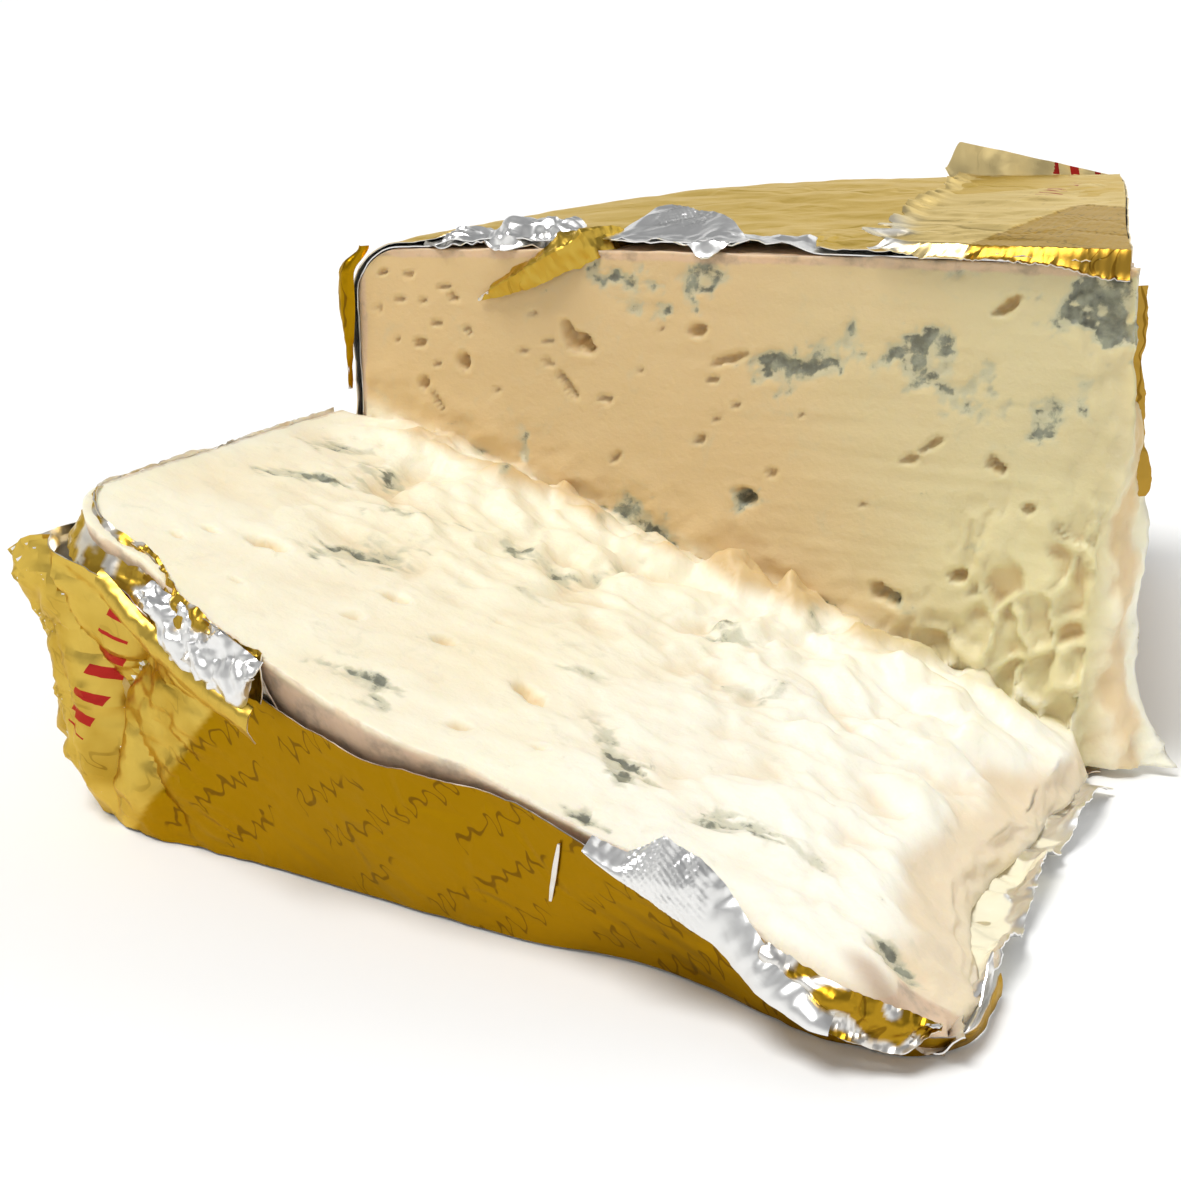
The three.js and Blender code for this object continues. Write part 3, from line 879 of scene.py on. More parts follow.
def folds(points, size, count, seed, wander=0.35):
    """Flat facets meeting in sharp straight creases, about -1 to 1, like crumpled foil."""
    rng = np.random.default_rng(seed)
    flat = points.reshape(-1, 3)
    warp = np.stack([noise(flat, size * 2.2, seed=seed + k) for k in range(3)], -1) * size * wander
    total = np.zeros(len(flat))
    for k in range(count):
        way = rng.normal(size=3)
        way /= np.linalg.norm(way)
        run = (flat + warp) @ way / (size * rng.uniform(0.6, 1.6)) + rng.uniform()
        tri = 4 * np.abs(run - np.floor(run + 0.5)) - 1
        mask = smooth(-0.35, 0.5, noise(flat, size * 1.8, seed=seed + 10 + k))
        total += tri * mask
    return (total / math.sqrt(count)).reshape(points.shape[:-1])


def crumple(grid, amount, size=11.0, seed=1, outward=0.0):
    """A grid pushed along its normals into facets; amount may be a number or one for each point."""
    bend = 0.8 * folds(grid, size, 6, seed) + 0.35 * folds(grid, size * 0.4, 5, seed + 50)
    bend = bend + outward
    return grid + grid_normals(grid) * (bend * amount)[..., None]


def foil_shell(grid, silver_inside=True, **extra):
    """Points, faces and values of a thin closed sheet whose outer side follows the grid's normals."""
    rows, columns = grid.shape[:2]
    count = rows * columns
    normal = grid_normals(grid)
    points = np.concatenate([grid.reshape(-1, 3), (grid - normal * FOIL_THICKNESS).reshape(-1, 3)])
    z = points[:, 2]
    points[:, 2] = np.where(z < TABLE_GAP, TABLE_GAP + 0.02 * (z - TABLE_GAP), z)
    ids = np.arange(count).reshape(rows, columns)
    faces = grid_quads(ids) + grid_quads((ids + count)[:, ::-1])
    faces += ring_quads(border(ids), border(ids + count))
    silver = np.concatenate([np.zeros(count), np.full(count, 1.0 if silver_inside else 0.0)])
    values = {"silver": silver}
    for key, value in extra.items():
        value = np.full(count, value) if np.isscalar(value) else value
        value = np.asarray(value, float).reshape(count, -1)
        value = np.concatenate([value, value])
        values[key] = np.maximum(value[:, 0], silver) if key == "silver" else value
    return points, faces, values


def make_foil(name, shells, material, node):
    """One piece out of several thin sheets."""
    points, faces, values, start = [], [], {}, 0
    for p, f, v in shells:
        points.append(p)
        faces += [[i + start for i in face] for face in f]
        for key, width in FOIL_VALUES.items():
            value = v.get(key, np.zeros((len(p), width)))
            values.setdefault(key, []).append(np.asarray(value, float).reshape(len(p), width))
        start += len(p)
    obj = make_object(name, np.concatenate(points), faces)
    for key, parts in values.items():
        set_attribute(obj, key, np.concatenate(parts))
    shade_creased(obj)
    obj.data.materials.append(material)
    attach(obj, "root")
    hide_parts(node)
    return obj


def shade_creased(obj):
    """Smooth facets with sharp creases."""
    obj.data.shade_smooth()
    obj.data.set_sharp_from_angle(angle=CREASE_ANGLE)


def jag(a, seed, size=1.0):
    """A torn border's wander along its length: slow bends, small teeth."""
    line = flat_points(a, np.zeros_like(a))
    teeth = np.abs(noise(line, 2.6, seed=seed + 1)) + 0.5 * np.abs(noise(line, 1.1, seed=seed + 2))
    return size * (1.5 * noise(line, 14, seed=seed) + 1.1 * teeth)


# The standing half's foil


def wrap_profile(offset, wall_points, rim_points, top_points, low=0.0):
    """(r, h) from the foot of the rind wall up and round the rim to the axis."""
    r_wall = RADIUS + offset
    wall = np.stack([np.full(wall_points, r_wall), np.linspace(low, HALF_HEIGHT - RIM, wall_points)], -1)
    rim = arc(RADIUS - RIM, HALF_HEIGHT - RIM, RIM + offset, 0, 90, rim_points + 2)[1:-1]
    r_top = np.linspace(RADIUS - RIM, 2.0, top_points)
    top = np.stack([r_top, standing_height(r_top) + offset], -1)
    return np.concatenate([wall, rim, top])


def wheel_place(r, h, angle):
    """A point of the standing half from distance, height and angle, with its far side's rise."""
    x, y = -r * np.cos(angle), r * np.sin(angle)
    return settle_standing(x, y, h)


def back_sheet(offset, first_edge, last_angle, columns, steps, low=0.0):
    """Foil over the rind wall and the flat face; first_edge(x, h) is how far in from the cut it starts."""
    profile = wrap_profile(offset, *steps, low=low)
    r, h = profile[:, 0][:, None], profile[:, 1][:, None]
    start = np.clip(first_edge(-r, h) / np.maximum(r, 6), -0.5, 1.2)
    u = np.linspace(0, 1, columns)[None] ** 1.15
    angle = start + (last_angle - start) * u
    grid = wheel_place(np.broadcast_to(r, angle.shape), np.broadcast_to(h, angle.shape), angle)
    return grid[:, ::-1], np.broadcast_to(h, angle.shape)


def wrapper_edge(x, h):
    """Where the gold wrapper's border runs along the cut: torn back between two flaps, loose at the rind."""
    line = x[:, 0] + 0.37 * h[:, 0]
    top = h[:, 0] > HALF_HEIGHT - RIM
    tear = smooth(-133, -127, x[:, 0]) * smooth(-54, -60, x[:, 0]) * top
    place = -0.6 + 0.35 * jag(line, 80) + tear * (11 + 3.5 * jag(line, 83, 0.7))
    return place[:, None]


def lining_edge(x, h):
    """The same for the lining, which shows along the tear."""
    line = x[:, 0] + 0.37 * h[:, 0]
    top = h[:, 0] > HALF_HEIGHT - RIM
    tear = smooth(-131, -126, x[:, 0]) * smooth(-55, -62, x[:, 0]) * top
    return (-0.2 + 0.5 * jag(line, 90) + tear * 2.0 * np.abs(jag(line, 93)))[:, None]


def flat_base(angle_from, angle_to, radius, z, columns=60, rows=30):
    """The part of the wrapper under the standing half."""
    angle = span(angle_from, angle_to, columns)
    r = np.linspace(2, radius, rows)[:, None]
    x, y = -r * np.cos(angle), r * np.sin(angle)
    return np.stack([x, y, np.full_like(x, z)], -1)


def radial_wall(offset, low, high, r_first, r_last, columns, rows):
    """Foil on the hidden cut: from r_first to r_last, from low up to the flat face."""
    t = rise(rows)
    ragged = 1.2 * jag(t[:, 0] * 80, 120)[:, None] * smooth(0.7, 0.4, t)
    first = r_first + 15.0 * smooth(0.62, 0.0, t) + ragged
    r = first + (r_last - first) * np.linspace(0, 1, columns)[None]
    top = standing_height(r) + high
    foot = low(r) if callable(low) else low
    h = foot + (top - foot) * t
    a = STANDING_ANGLE
    x = -r * math.cos(a) + offset * math.sin(a) + 0 * h
    y = r * math.sin(a) + offset * math.cos(a) + 0 * h
    return settle_standing(x - tip_inset(y, h), y, h)


def upright_sheet(wall):
    """Flat coordinates for the printing on a wall along the hidden cut."""
    return np.stack([wall[..., 1], wall[..., 2], 0 * wall[..., 0]], -1)


def make_back_wrapper(material):
    top, h = back_sheet(1.1, wrapper_edge, STANDING_ANGLE + 0.012, 210, (60, 12, 100))
    draw_in(top, h)
    r = np.hypot(top[..., 0], top[..., 1])
    near_cut = smooth(16, 3, top[..., 1])
    torn = smooth(-136, -128, top[..., 0]) * smooth(-50, -62, top[..., 0]) * smooth(24, 10, top[..., 1])
    hanging = smooth(-140, -148, top[..., 0]) * smooth(30, 50, h) * smooth(14, 2, top[..., 1])
    amount = 0.22 + 0.2 * near_cut + 0.9 * torn + 0.3 * hanging
    amount = amount * smooth(4, 25, r) + 0.1
    top = crumple(top, amount, 15.0, seed=101, outward=0.25)
    top[..., 2] += 1.2 * torn * smooth(12, 7, top[..., 1])
    top[..., 2] += 1.9 * smooth(30, 100, top[..., 1]) * (h > HALF_HEIGHT - 4) * smooth(0, 40, r)
    ribs = smooth(-62, -40, top[..., 0]) * smooth(30, 4, top[..., 1]) * (h > HALF_HEIGHT - 2)
    wander = grid_noise(top, 9, seed=3) * 2
    top[..., 2] += ribs * 0.22 * np.sin(top[..., 0] * 3.1 + wander)
    sheet = np.stack([top[..., 0], top[..., 1], h], -1)
    upper = foil_shell(top, sheet=sheet, tone=0.95)
    wall = radial_wall(1.3, 0.0, 1.4, 6.0, RADIUS + 1.5, 110, 70)
    wall = crumple(wall, 0.5, 15.0, seed=103, outward=0.4)
    side = foil_shell(wall, sheet=upright_sheet(wall), tone=0.12)
    base = foil_shell(flat_base(0.0, STANDING_ANGLE, RADIUS + 1.5, BASE_Z + FOIL_THICKNESS)[::-1])
    shells = [upper, side, base, hanging_flap()]
    return make_foil("gold_back_wrapper", shells, material, "back_wrapper")


def make_back_lining(material):
    top, h = back_sheet(0.4, lining_edge, STANDING_ANGLE, 190, (40, 10, 90), low=2.0)
    draw_in(top, h)
    torn = smooth(-134, -127, top[..., 0]) * smooth(-54, -62, top[..., 0]) * smooth(20, 9, top[..., 1])
    torn = torn * (h > HALF_HEIGHT - RIM)
    top = crumple(top, 0.12 + 1.0 * torn, 7.0, seed=111, outward=0.5)
    top[..., 2] += 0.9 * torn
    upper = foil_shell(top, sheet=top, silver=1.0)
    tuft = silver_tuft()
    return make_foil("silver_back_lining", [upper, tuft], material, "back_inner_foil")


def silver_tuft():
    """Lining pushed up into peaks in the tear."""
    x = span(-134, -100, 100)
    t = rise(44)
    line = flat_points(x[0], 0 * x[0])
    peaks = 3.6 + 2.6 * noise(line, 9, seed=115) + 1.2 * noise(line, 4, seed=116)
    ends = smooth(-134, -126, x) * smooth(-100, -104, x)
    high = np.clip(peaks, 1.2, 7)[None] * ends * np.sin(math.pi * np.clip(0.08 + t * 0.98, 0, 1)) ** 0.8
    y = 13.0 - 13.0 * t + 1.0 * np.sin(x * 0.5)
    z = LIFT + standing_height(-x) + 0.7 + high
    grid = crumple(spread(x, y, z), 1.25, 6.0, seed=117)[::-1]
    return foil_shell(grid, sheet=grid, silver=1.0)


def overlap_patch(rows, columns):
    """The second sheet on the flat face in plan: torn on the left, out to the rind at the back."""
    v = (np.linspace(0, 1, rows) ** 1.2)[:, None]
    u = span(0, 1, columns)
    y_left, y_right = -1.8 + 137.5 * v, -1.8 + 149.0 * v
    teeth = 2.6 * smooth(0.25, 0.0, v) * np.sin(v * 90)
    x_left = -46 - 14.5 * v + teeth + jag(v[:, 0] * 140, 130)[:, None]
    x_right = radial_x(y_right)
    bow = 3.5 * np.sin(math.pi * u) * v**3
    return x_left + (x_right - x_left) * u, y_left + (y_right - y_left) * u + bow, u, v


def radial_x(y, offset=1.6):
    """The upper border of the hidden cut, in plan."""
    return -y / math.tan(STANDING_ANGLE) + offset - tip_inset(y, HALF_HEIGHT)


def tip_inset(y, h):
    """How far the foil by the torn tip is drawn in, most at the top."""
    return 4.6 * smooth(130, 0, y) * smooth(34, 62, h)


def draw_in(top, h):
    """Moves a sheet's border along the hidden cut by that much."""
    aside = -top[..., 1] / math.tan(STANDING_ANGLE) - top[..., 0]
    top[..., 0] -= tip_inset(top[..., 1], h) * smooth(18, 2, aside)


def make_overlap(material):
    x, y, u, v = overlap_patch(190, 90)
    r = np.hypot(x, y)
    h = standing_height(np.minimum(r, RADIUS - RIM)) + 2.7 - 3.5 * smooth(RADIUS - RIM, RADIUS + 2, r)
    top = settle_standing(x, y, h)
    over = smooth(0.6, -1.6, y + 0.35 * jag(x[0], 134)[None])
    top[..., 2] -= over * (1.6 + 2.2 * smooth(-20, -4, x) + 0.7 * jag(x[0], 133)[None])
    ribbed = smooth(-29.5, -28.5, x - 0.12 * y) * smooth(58, 57, y + 0.2 * x)
    amount = 0.5 * (1 - 0.75 * ribbed) + 0.5 * smooth(0.2, 0.0, u)
    top = crumple(top, amount, 16.0, seed=131, outward=0.3)
    top[..., 2] += ribbed * 0.08 * np.sin(x * 4.5)
    top[..., 2] += smooth(0.12, 0.0, u) * (0.6 + 0.8 * np.sin(y * 0.3) ** 2)
    bright = smooth(0.16, 0.03, u) * smooth(0.30, 0.12, v) * 0.9
    tone = np.where(ribbed > 0.5, 0.08, 0.8)
    upper = foil_shell(top, sheet=top, tone=tone, label=right_label(top), silver=bright)
    pieces = [upper, overlap_side(), overlap_ear(), tip_strip()]
    return make_foil("pale_gold_overlap", pieces, material, "back_wrapper_overlap")


def right_label(grid):
    """Printed bars near the ear's low end."""
    a = grid[..., 1] - 95
    b = grid[..., 0] + 31
    inside = (np.abs(a) < 16) & (np.abs(b) < 3)
    return np.stack([a, b, inside.astype(float)], -1)


def overlap_side():
    """The second sheet where it comes down the hidden cut."""
    wall = radial_wall(1.9, lambda r: 36 + 2.5 * jag(r[0], 137)[None], 2.6, 5.0, RADIUS - 2, 120, 50)
    wall = crumple(wall, 0.35, 12.0, seed=138, outward=0.4)
    return foil_shell(wall, sheet=upright_sheet(wall), tone=0.7)


def overlap_ear():
    """The fold that stands up along the back of the rim, high at its left end and dying to the right."""
    angle = np.linspace(math.radians(64.5), STANDING_ANGLE + 0.01, 100)[None]
    t = rise(18)
    along = (angle - angle[0, 0]) / (angle[0, -1] - angle[0, 0])
    high = (10.5 - 8.5 * along) * (0.35 + 0.65 * smooth(0.0, 0.09, along))
    out = 1.5 * t * (1 - along)
    r = RADIUS - 3.0 + out + 0.4 * np.sin(along * 21)
    foot = wheel_place(r, np.full(r.shape, HALF_HEIGHT + 0.6), angle)
    grid = foot + np.stack([-2.0 * t + 0 * along, 0 * t + 0 * along, high * t], -1)
    grid = crumple(grid, 0.4, 12.0, seed=141)[:, ::-1]
    return foil_shell(grid, silver_inside=False, sheet=grid, tone=0.85, label=ear_label(grid))


def ear_label(grid):
    """Printed bars on the standing fold."""
    a, b = grid[..., 0] + 34, grid[..., 2] - 97
    inside = (np.abs(a) < 7) & (np.abs(b) < 2)
    return np.stack([a, b, inside.astype(float)], -1)


def tip_strip():
    """Foil that shows as a narrow gold border beside the torn tip."""
    z = np.linspace(50, 85, 80)[:, None]
    t = span(0, 1, 9)
    x = 0.4 - 2.8 * smooth(50, 70, z) - 0.4 * smooth(70, 84, z) + 0.3 * np.sin(z * 0.5)
    x = x + (2.2 * t + 0.4 * t * jag(z[:, 0], 145)[:, None]) * smooth(38, 56, z)
    y = 4.0 + 2.0 * t
    grid = spread(x, y, z)
    grid = crumple(grid, 0.4, 6.0, seed=146)
    return foil_shell(grid, sheet=grid, tone=0.1)


# The torn strip from the flat face to its hanging end: its middle, its widths and its twist in degrees
STRIP_PATH = [
    (-95, 12, 88.6), (-97, 5, 89.9), (-99, 0.2, 89.6), (-103, -2.2, 87.2), (-109, -2.6, 83.6),
    (-115, -2.2, 80.6), (-121.5, -1.2, 77.0),
]
STRIP_WIDTHS = [5.0, 7.5, 8.0, 7.0, 6.2, 4.4, 0.5]
STRIP_TWIST = [0, 8, 35, 70, 62, 75, 60]


def make_torn_strip(material):
    """A twisted ribbon of gold that hangs over the cut from the flat face."""
    path = np.array(STRIP_PATH)
    count, across = 90, 16
    s = np.linspace(0, len(path) - 1, count)
    centre = np.stack([np.interp(s, range(len(path)), path[:, k]) for k in range(3)], -1)
    centre = smoothed(centre, 7)
    width = np.interp(s, range(len(path)), STRIP_WIDTHS) * (1 + 0.12 * jag(s * 8, 151))
    turn = np.interp(s, range(len(path)), np.radians(STRIP_TWIST))
    way = np.gradient(centre, axis=0)
    way /= np.linalg.norm(way, axis=1)[:, None]
    level = np.cross(way, [0, 0, 1.0])
    level /= np.linalg.norm(level, axis=1)[:, None]
    lifted = np.cross(level, way)
    side = level * np.cos(turn)[:, None] + lifted * np.sin(turn)[:, None]
    t = np.linspace(-0.5, 0.5, across)[None, :, None]
    up = np.cross(side, way)
    fold = (np.abs(t) - 0.25) * 0.9
    wide = width[:, None, None]
    grid = centre[:, None] + side[:, None] * wide * t - up[:, None] * wide * fold
    grid = crumple(grid, 0.55, 4.5, seed=152)
    shell = foil_shell(grid, sheet=grid, tone=0.7)
    return make_foil("torn_gold_strip", [shell], material, "torn_foil_strip")


def smoothed(curve, width):
    """A curve's points averaged with their neighbours."""
    kernel = np.hanning(width + 2)[1:-1]
    kernel /= kernel.sum()
    padded = np.pad(curve, ((width // 2, width // 2), (0, 0)), mode="edge")
    return np.stack([np.convolve(padded[:, k], kernel, "valid") for k in range(3)], -1)


def make_silver_flap(material):
    """A pale flap of lining torn loose and turned up over the flat face's border."""
    x = span(-101, -69, 100)
    t = rise(50)
    front = np.interp(x[0], [-101, -95, -88, -80, -76, -72, -69], [2.5, 1.0, 0.6, 0.2, -1.6, -0.6, 4.0])
    rear = np.interp(x[0], [-101, -97, -90, -82, -75, -69], [5.0, 15.0, 19.0, 17.0, 12.0, 5.5])
    front = front + 0.5 * jag(x[0], 161)
    y = rear + (front - rear) * t
    z = LIFT + standing_height(-x) + 2.0 + 0 * t - 2.6 * smooth(0.6, -1.4, y)
    z = z + (4.6 * smooth(-100, -92, x) * smooth(-68, -82, x) + 0.6 * np.sin(x * 0.4)) * (1 - t) ** 1.3
    grid = crumple(spread(x, y, z), 0.75, 9.0, seed=162)[::-1]
    emboss = smooth(-91, -89, grid[..., 0]) * smooth(-79, -81, grid[..., 0]) * smooth(8, 10, grid[..., 1])
    bumps = np.sin(grid[..., 0] * 5.0) * np.sin(grid[..., 1] * 5.0)
    grid = grid + grid_normals(grid) * (0.12 * emboss * bumps)[..., None]
    shell = foil_shell(grid, sheet=grid, silver=1.0)
    return make_foil("turned_silver_flap", [shell], material, "turned_silver_flap")


# The lying half's foil

FRONT_CORNER = 18.0
TIP_TURN = 8.0
TIP_X = -3.0


def tip_turn(offset, height):
    """The wrapper's way round the front corner of the thin end, in plan."""
    centre_x = TIP_X - TIP_TURN
    centre_y = front_edge(np.array(centre_x), height) + TIP_TURN
    reach = TIP_TURN + offset
    corner = arc(centre_x, centre_y, reach, 0, -90, 22)[:-1]
    side_y = np.linspace(-80, centre_y, 12)[:-1]
    side = np.stack([np.full(len(side_y), centre_x + reach), side_y], -1)
    return np.concatenate([side, corner])


def front_path(offset, height, start_x=None):
    """The lying half's border in plan, front wall then rind wall, pushed out by offset."""
    begin = tip_turn(offset, height) if start_x is None else np.zeros((0, 2))
    start_x = TIP_X - TIP_TURN if start_x is None else start_x
    corner_x, corner_y = RIND_X + FRONT_CORNER, front_edge(np.array(-138.0), 0.5) + FRONT_CORNER
    reach = FRONT_CORNER + offset
    x = np.linspace(start_x, corner_x, 150)
    y = front_edge(x, height) - offset
    blend = smooth(corner_x, corner_x + 14, x)
    y = y * blend + (corner_y - reach) * (1 - blend)
    corner = arc(corner_x, corner_y, reach, 270, 180, 34)[1:]
    rind_y = np.linspace(corner_y, -4.0, 76)[1:]
    rind = np.stack([np.full(len(rind_y), corner_x - reach), rind_y], -1)
    return np.concatenate([begin, np.stack([x, y], -1), corner, rind])


def path_length(path):
    """How far along a path each of its points is."""
    return np.concatenate([[0], np.cumsum(np.hypot(*np.diff(path, axis=0).T))])


# The front wrapper's upper border: x along the wall and the height there
WALL_EDGE_X = [-150, -146, -139, -133, -127, -118, -109, -99, -86, -76, -66, -56, -47, -39, -31, -21, -8, 0]
WALL_EDGE_Z = [
    48.5, 47.5, 46, 43, 39.5, 36, 33.4, 29.8, 26.6, 26.4, 25.4, 23, 18.8, 15.2, 10.8, 7.2, 4.8, 3.6,
]


def gold_edge(path, length):
    """Height of the front wrapper's upper border along its path."""
    x, y = path.T
    z = np.interp(x, WALL_EDGE_X, WALL_EDGE_Z)
    round_corner = smooth(-146, -152, x) * smooth(-92, -80, y)
    side = np.interp(y, [-100, -88, -80, -68, -52, -4], [46.5, 46.5, 44.0, 46.0, 52.0, 53.4])
    z = z * (1 - round_corner) + side * round_corner
    spike = bell(x, -150, 4) * bell(y, -86, 5) * 2.5
    return z + spike + 0.35 * jag(length, 171)


def lining_top(path, length):
    """Height of the front lining's upper border along its path, just under the cheese's edge."""
    x, y = path.T
    z = lying_top_z(np.maximum(x, -150)) - 0.1 + 1.3 * smooth(-138, -150, x)
    hidden = smooth(-106, -102, x) * smooth(-80, -90, y)
    return z - 8.0 * hidden + 0.45 * jag(length, 175)


# Creases of the gathered corner: x and z of points along each, and how deep it is
CREASES = [
    ([(-149, 44), (-144, 32), (-141, 24), (-141, 15), (-143, 4)], 3.4),
    ([(-126, 42), (-132, 34), (-138, 25), (-141, 21)], 2.8),
    ([(-136, 29), (-127, 33), (-118, 34), (-110, 33)], 1.6),
    ([(-136, 20), (-129, 9), (-126, 2)], 1.4),
    ([(-152, 30), (-149, 18), (-150, 6)], 1.2),
]


def line_distance(a, b, line):
    """Distance in a plane to the nearest piece of a bent line."""
    best = np.full(a.shape, 1e9)
    for (x0, y0), (x1, y1) in zip(line[:-1], line[1:]):
        dx, dy = x1 - x0, y1 - y0
        t = np.clip(((a - x0) * dx + (b - y0) * dy) / (dx * dx + dy * dy), 0, 1)
        best = np.minimum(best, np.hypot(a - x0 - t * dx, b - y0 - t * dy))
    return best


def bunched(path, z, top):
    """How far the gathered foil at the corner stands off, with its sharp creases."""
    x, y = np.broadcast_to(path[:, 0], z.shape), np.broadcast_to(path[:, 1], z.shape)
    level = z * 44.0 / np.maximum(top, 20)[None]
    across = x - 0.5 * np.clip(y + 88, 0, 30) * smooth(-140, -150, x)
    reach = smooth(-110, -134, x) * smooth(-46, -76, y) * smooth(-3.0, 12.0, z)
    left = smooth(-138, -152, x) * smooth(-66, -80, y)
    out = 3.6 + 1.6 * smooth(10, 44, level) * smooth(-128, -146, x)
    out = out + left * (3.4 + 3.8 * smooth(28, 46, level))
    for line, deep in CREASES:
        out = out - 1.25 * deep * np.exp(-line_distance(across, level, line) / 2.4)
    return reach * out


def front_wall(offset, edge, rows, low, seed, amount, size, bunch):
    """A sheet round the lying half from low up to edge(path, length), and its flat coordinates for printing.

    amount(grid) and size say how it is crumpled; bunch gathers it at the front corner.
    """
    path = front_path(offset, 0.5)
    length = path_length(path)
    top = edge(path, length)
    t = rise(rows)
    z = low + (np.maximum(top, low + 1) - low) * t
    height = np.clip(z / np.maximum(lying_top_z(path[:, 0])[None], 2), 0, 1)
    grid = np.zeros(z.shape + (3,))
    for k in range(rows):
        ring = front_path(offset, height[k].mean())
        lean = front_edge(ring[:, 0], height[k]) - front_edge(ring[:, 0], height[k].mean())
        straight = smooth(-140, -130, ring[:, 0]) * smooth(-82, -92, ring[:, 1])
        grid[k] = np.stack([ring[:, 0], ring[:, 1] + lean * straight, z[k]], -1)
    flare = 1.5 * bell(path[:, 0], -19, 9)[None] * smooth(11, 0, z)
    bare = smooth(-112, -104, path[:, 0]) * smooth(-55, -62, path[:, 0]) * smooth(-80, -90, path[:, 1])
    snug = 0.7 * bare[None] * smooth(0.55, 1.0, t)
    out = bunched(path, z, top) + flare - snug if bunch else 0.6 * flare
    sheet = np.stack([np.broadcast_to(length, z.shape), z, np.zeros(z.shape)], -1)
    grid, out, sheet = grid[:, ::-1], out[:, ::-1], sheet[:, ::-1]
    grid = grid + grid_normals(grid) * out[..., None] * np.array([1, 1, 0.2])
    grid = crumple(grid, amount(grid) + 0.12 * out, size, seed=seed, outward=0.3)
    if bunch:
        grid = crumple(grid, 0.6 * smooth(-114, -128, grid[..., 0]), 5.0, seed=seed + 1)
    return grid, sheet


def front_amount(grid):
    """How crumpled the front wrapper is: most at the gathered corner."""
    left = smooth(-108, -120, grid[..., 0])
    return 0.28 + 0.75 * left + 0.3 * smooth(-60, -30, grid[..., 0])


def lining_amount(grid):
    """How crumpled the front lining is."""
    return 0.25 + 0.25 * smooth(-100, -140, grid[..., 0])


def boundary_tone(grid):
    """1 on the pale gathered part, 0 on the mustard wall; they meet along a straight slanted border."""
    x, y, z = grid[..., 0], grid[..., 1], grid[..., 2]
    border = -139.5 + 0.85 * z
    patch = 0.82 + 0.5 * fbm(grid.reshape(-1, 3), 9, 3, seed=189).reshape(x.shape)
    return np.where(y < -50, smooth(border + 0.6, border - 0.6, x), 1.0) * np.clip(patch, 0.3, 1)


def wall_label(grid):
    """Printed bars that run down the gathered corner."""
    x, y, z = grid[..., 0], grid[..., 1], grid[..., 2]
    a = (44 - z) * 0.83 - (x + 131) * 0.56
    b = (44 - z) * 0.56 + (x + 131) * 0.83
    inside = (y < -60) & (np.abs(b) < 7) & (a > -3) & (a < 36)
    return np.stack([a, b, inside.astype(float)], -1)


def make_front_wrapper(material):
    grid, sheet = front_wall(2.1, gold_edge, 60, BASE_Z, 181, front_amount, 12.0, True)
    wall = foil_shell(grid, sheet=sheet, tone=boundary_tone(grid), label=wall_label(grid))
    shells = [wall, lying_base(BASE_Z), wall_tear(grid), inner_rim(), front_fold(), tip_fold()]
    return make_foil("gold_front_wrapper", shells, material, "front_wrapper")


def wall_tear(grid):
    """A thin upright slit in the front wall where the silver side shows."""
    column = int(np.argmin(np.abs(grid[20, :, 0] + 56) + 100 * (grid[20, :, 1] > -80)))
    rows = slice(24, 54)
    middle = grid[rows, column] + grid_normals(grid)[rows, column] * 0.5
    along = np.linspace(0, 1, len(middle))[:, None, None]
    wide = 0.75 * np.sin(math.pi * (0.08 + 0.84 * along)) ** 0.5
    middle = middle - np.array([3.5, 0, 0]) * (1 - along[:, 0])
    across = np.linspace(-0.5, 0.5, 4)[None, :, None] * np.array([1.0, 0, 0])
    strip = middle[:, None] + across * wide
    return foil_shell(strip, sheet=strip, silver=1.0)


def lying_base(z):
    """The wrapper under the lying half."""
    path = front_path(0.6, 0.0, start_x=-4.0)
    share = path_length(path) / path_length(path)[-1]
    inner = np.stack([-4 - 146 * share, np.full(len(share), -2.0)], -1)
    t = np.linspace(0, 1, 30)[:, None, None]
    plan = path[None] * (1 - t) + inner[None] * t
    grid = np.concatenate([plan, np.full(plan.shape[:2] + (1,), z)], -1)
    return foil_shell(grid)


def inner_rim():
    """Crinkled gold that hugs the cheese's edge inside the gathered corner."""
    path = front_path(0.6, 1.0, start_x=-104.0)[:-22]
    outer = front_path(5.5, 0.8, start_x=-104.0)[:-22]
    share = np.linspace(0, 1, len(path))[None]
    t = rise(22)
    wide = smooth(0.0, 0.25, share) * smooth(1.0, 0.72, share)
    reach = (t * (0.15 + 0.85 * wide))[..., None]
    plan = path[None] * (1 - reach) + outer[None] * reach
    top = lying_top_z(np.maximum(path[:, 0], -150)) + 0.6 + 0.5 * jag(path_length(path), 184)
    z = top[None] - 7.5 * t**1.3
    grid = np.concatenate([plan, z[..., None]], -1)
    grid = crumple(grid[::-1, ::-1], 0.75, 4.5, seed=186)
    flecks = smooth(0.15, 0.35, grid_noise(grid, 3.2, seed=188))
    return foil_shell(grid, sheet=grid, tone=0.45, silver=0.8 * flecks)


def hanging_flap():
    """Gold that hangs beside the cut's rind end, down to a point."""
    t = rise(50)
    u = span(0, 1, 12)
    z = 58 + 28 * t
    wide = 0.4 + 3.4 * smooth(0.0, 0.7, t) - 1.2 * smooth(0.8, 1.0, t)
    left = -150.0 - 0.6 * t - wide * 0.5 + 3.0 * smooth(0.75, 1.0, t) ** 2
    x = left + wide * u
    y = -1.6 - 1.2 * np.sin(math.pi * u) + 2.5 * smooth(0.8, 1.0, t)
    grid = crumple(spread(x, y, z), 0.35, 6.0, seed=193)
    # painted shade: tone 0 gives the flap the darkest mustard, standing in for the shadow it hangs in
    return foil_shell(grid, sheet=grid, tone=0.0)


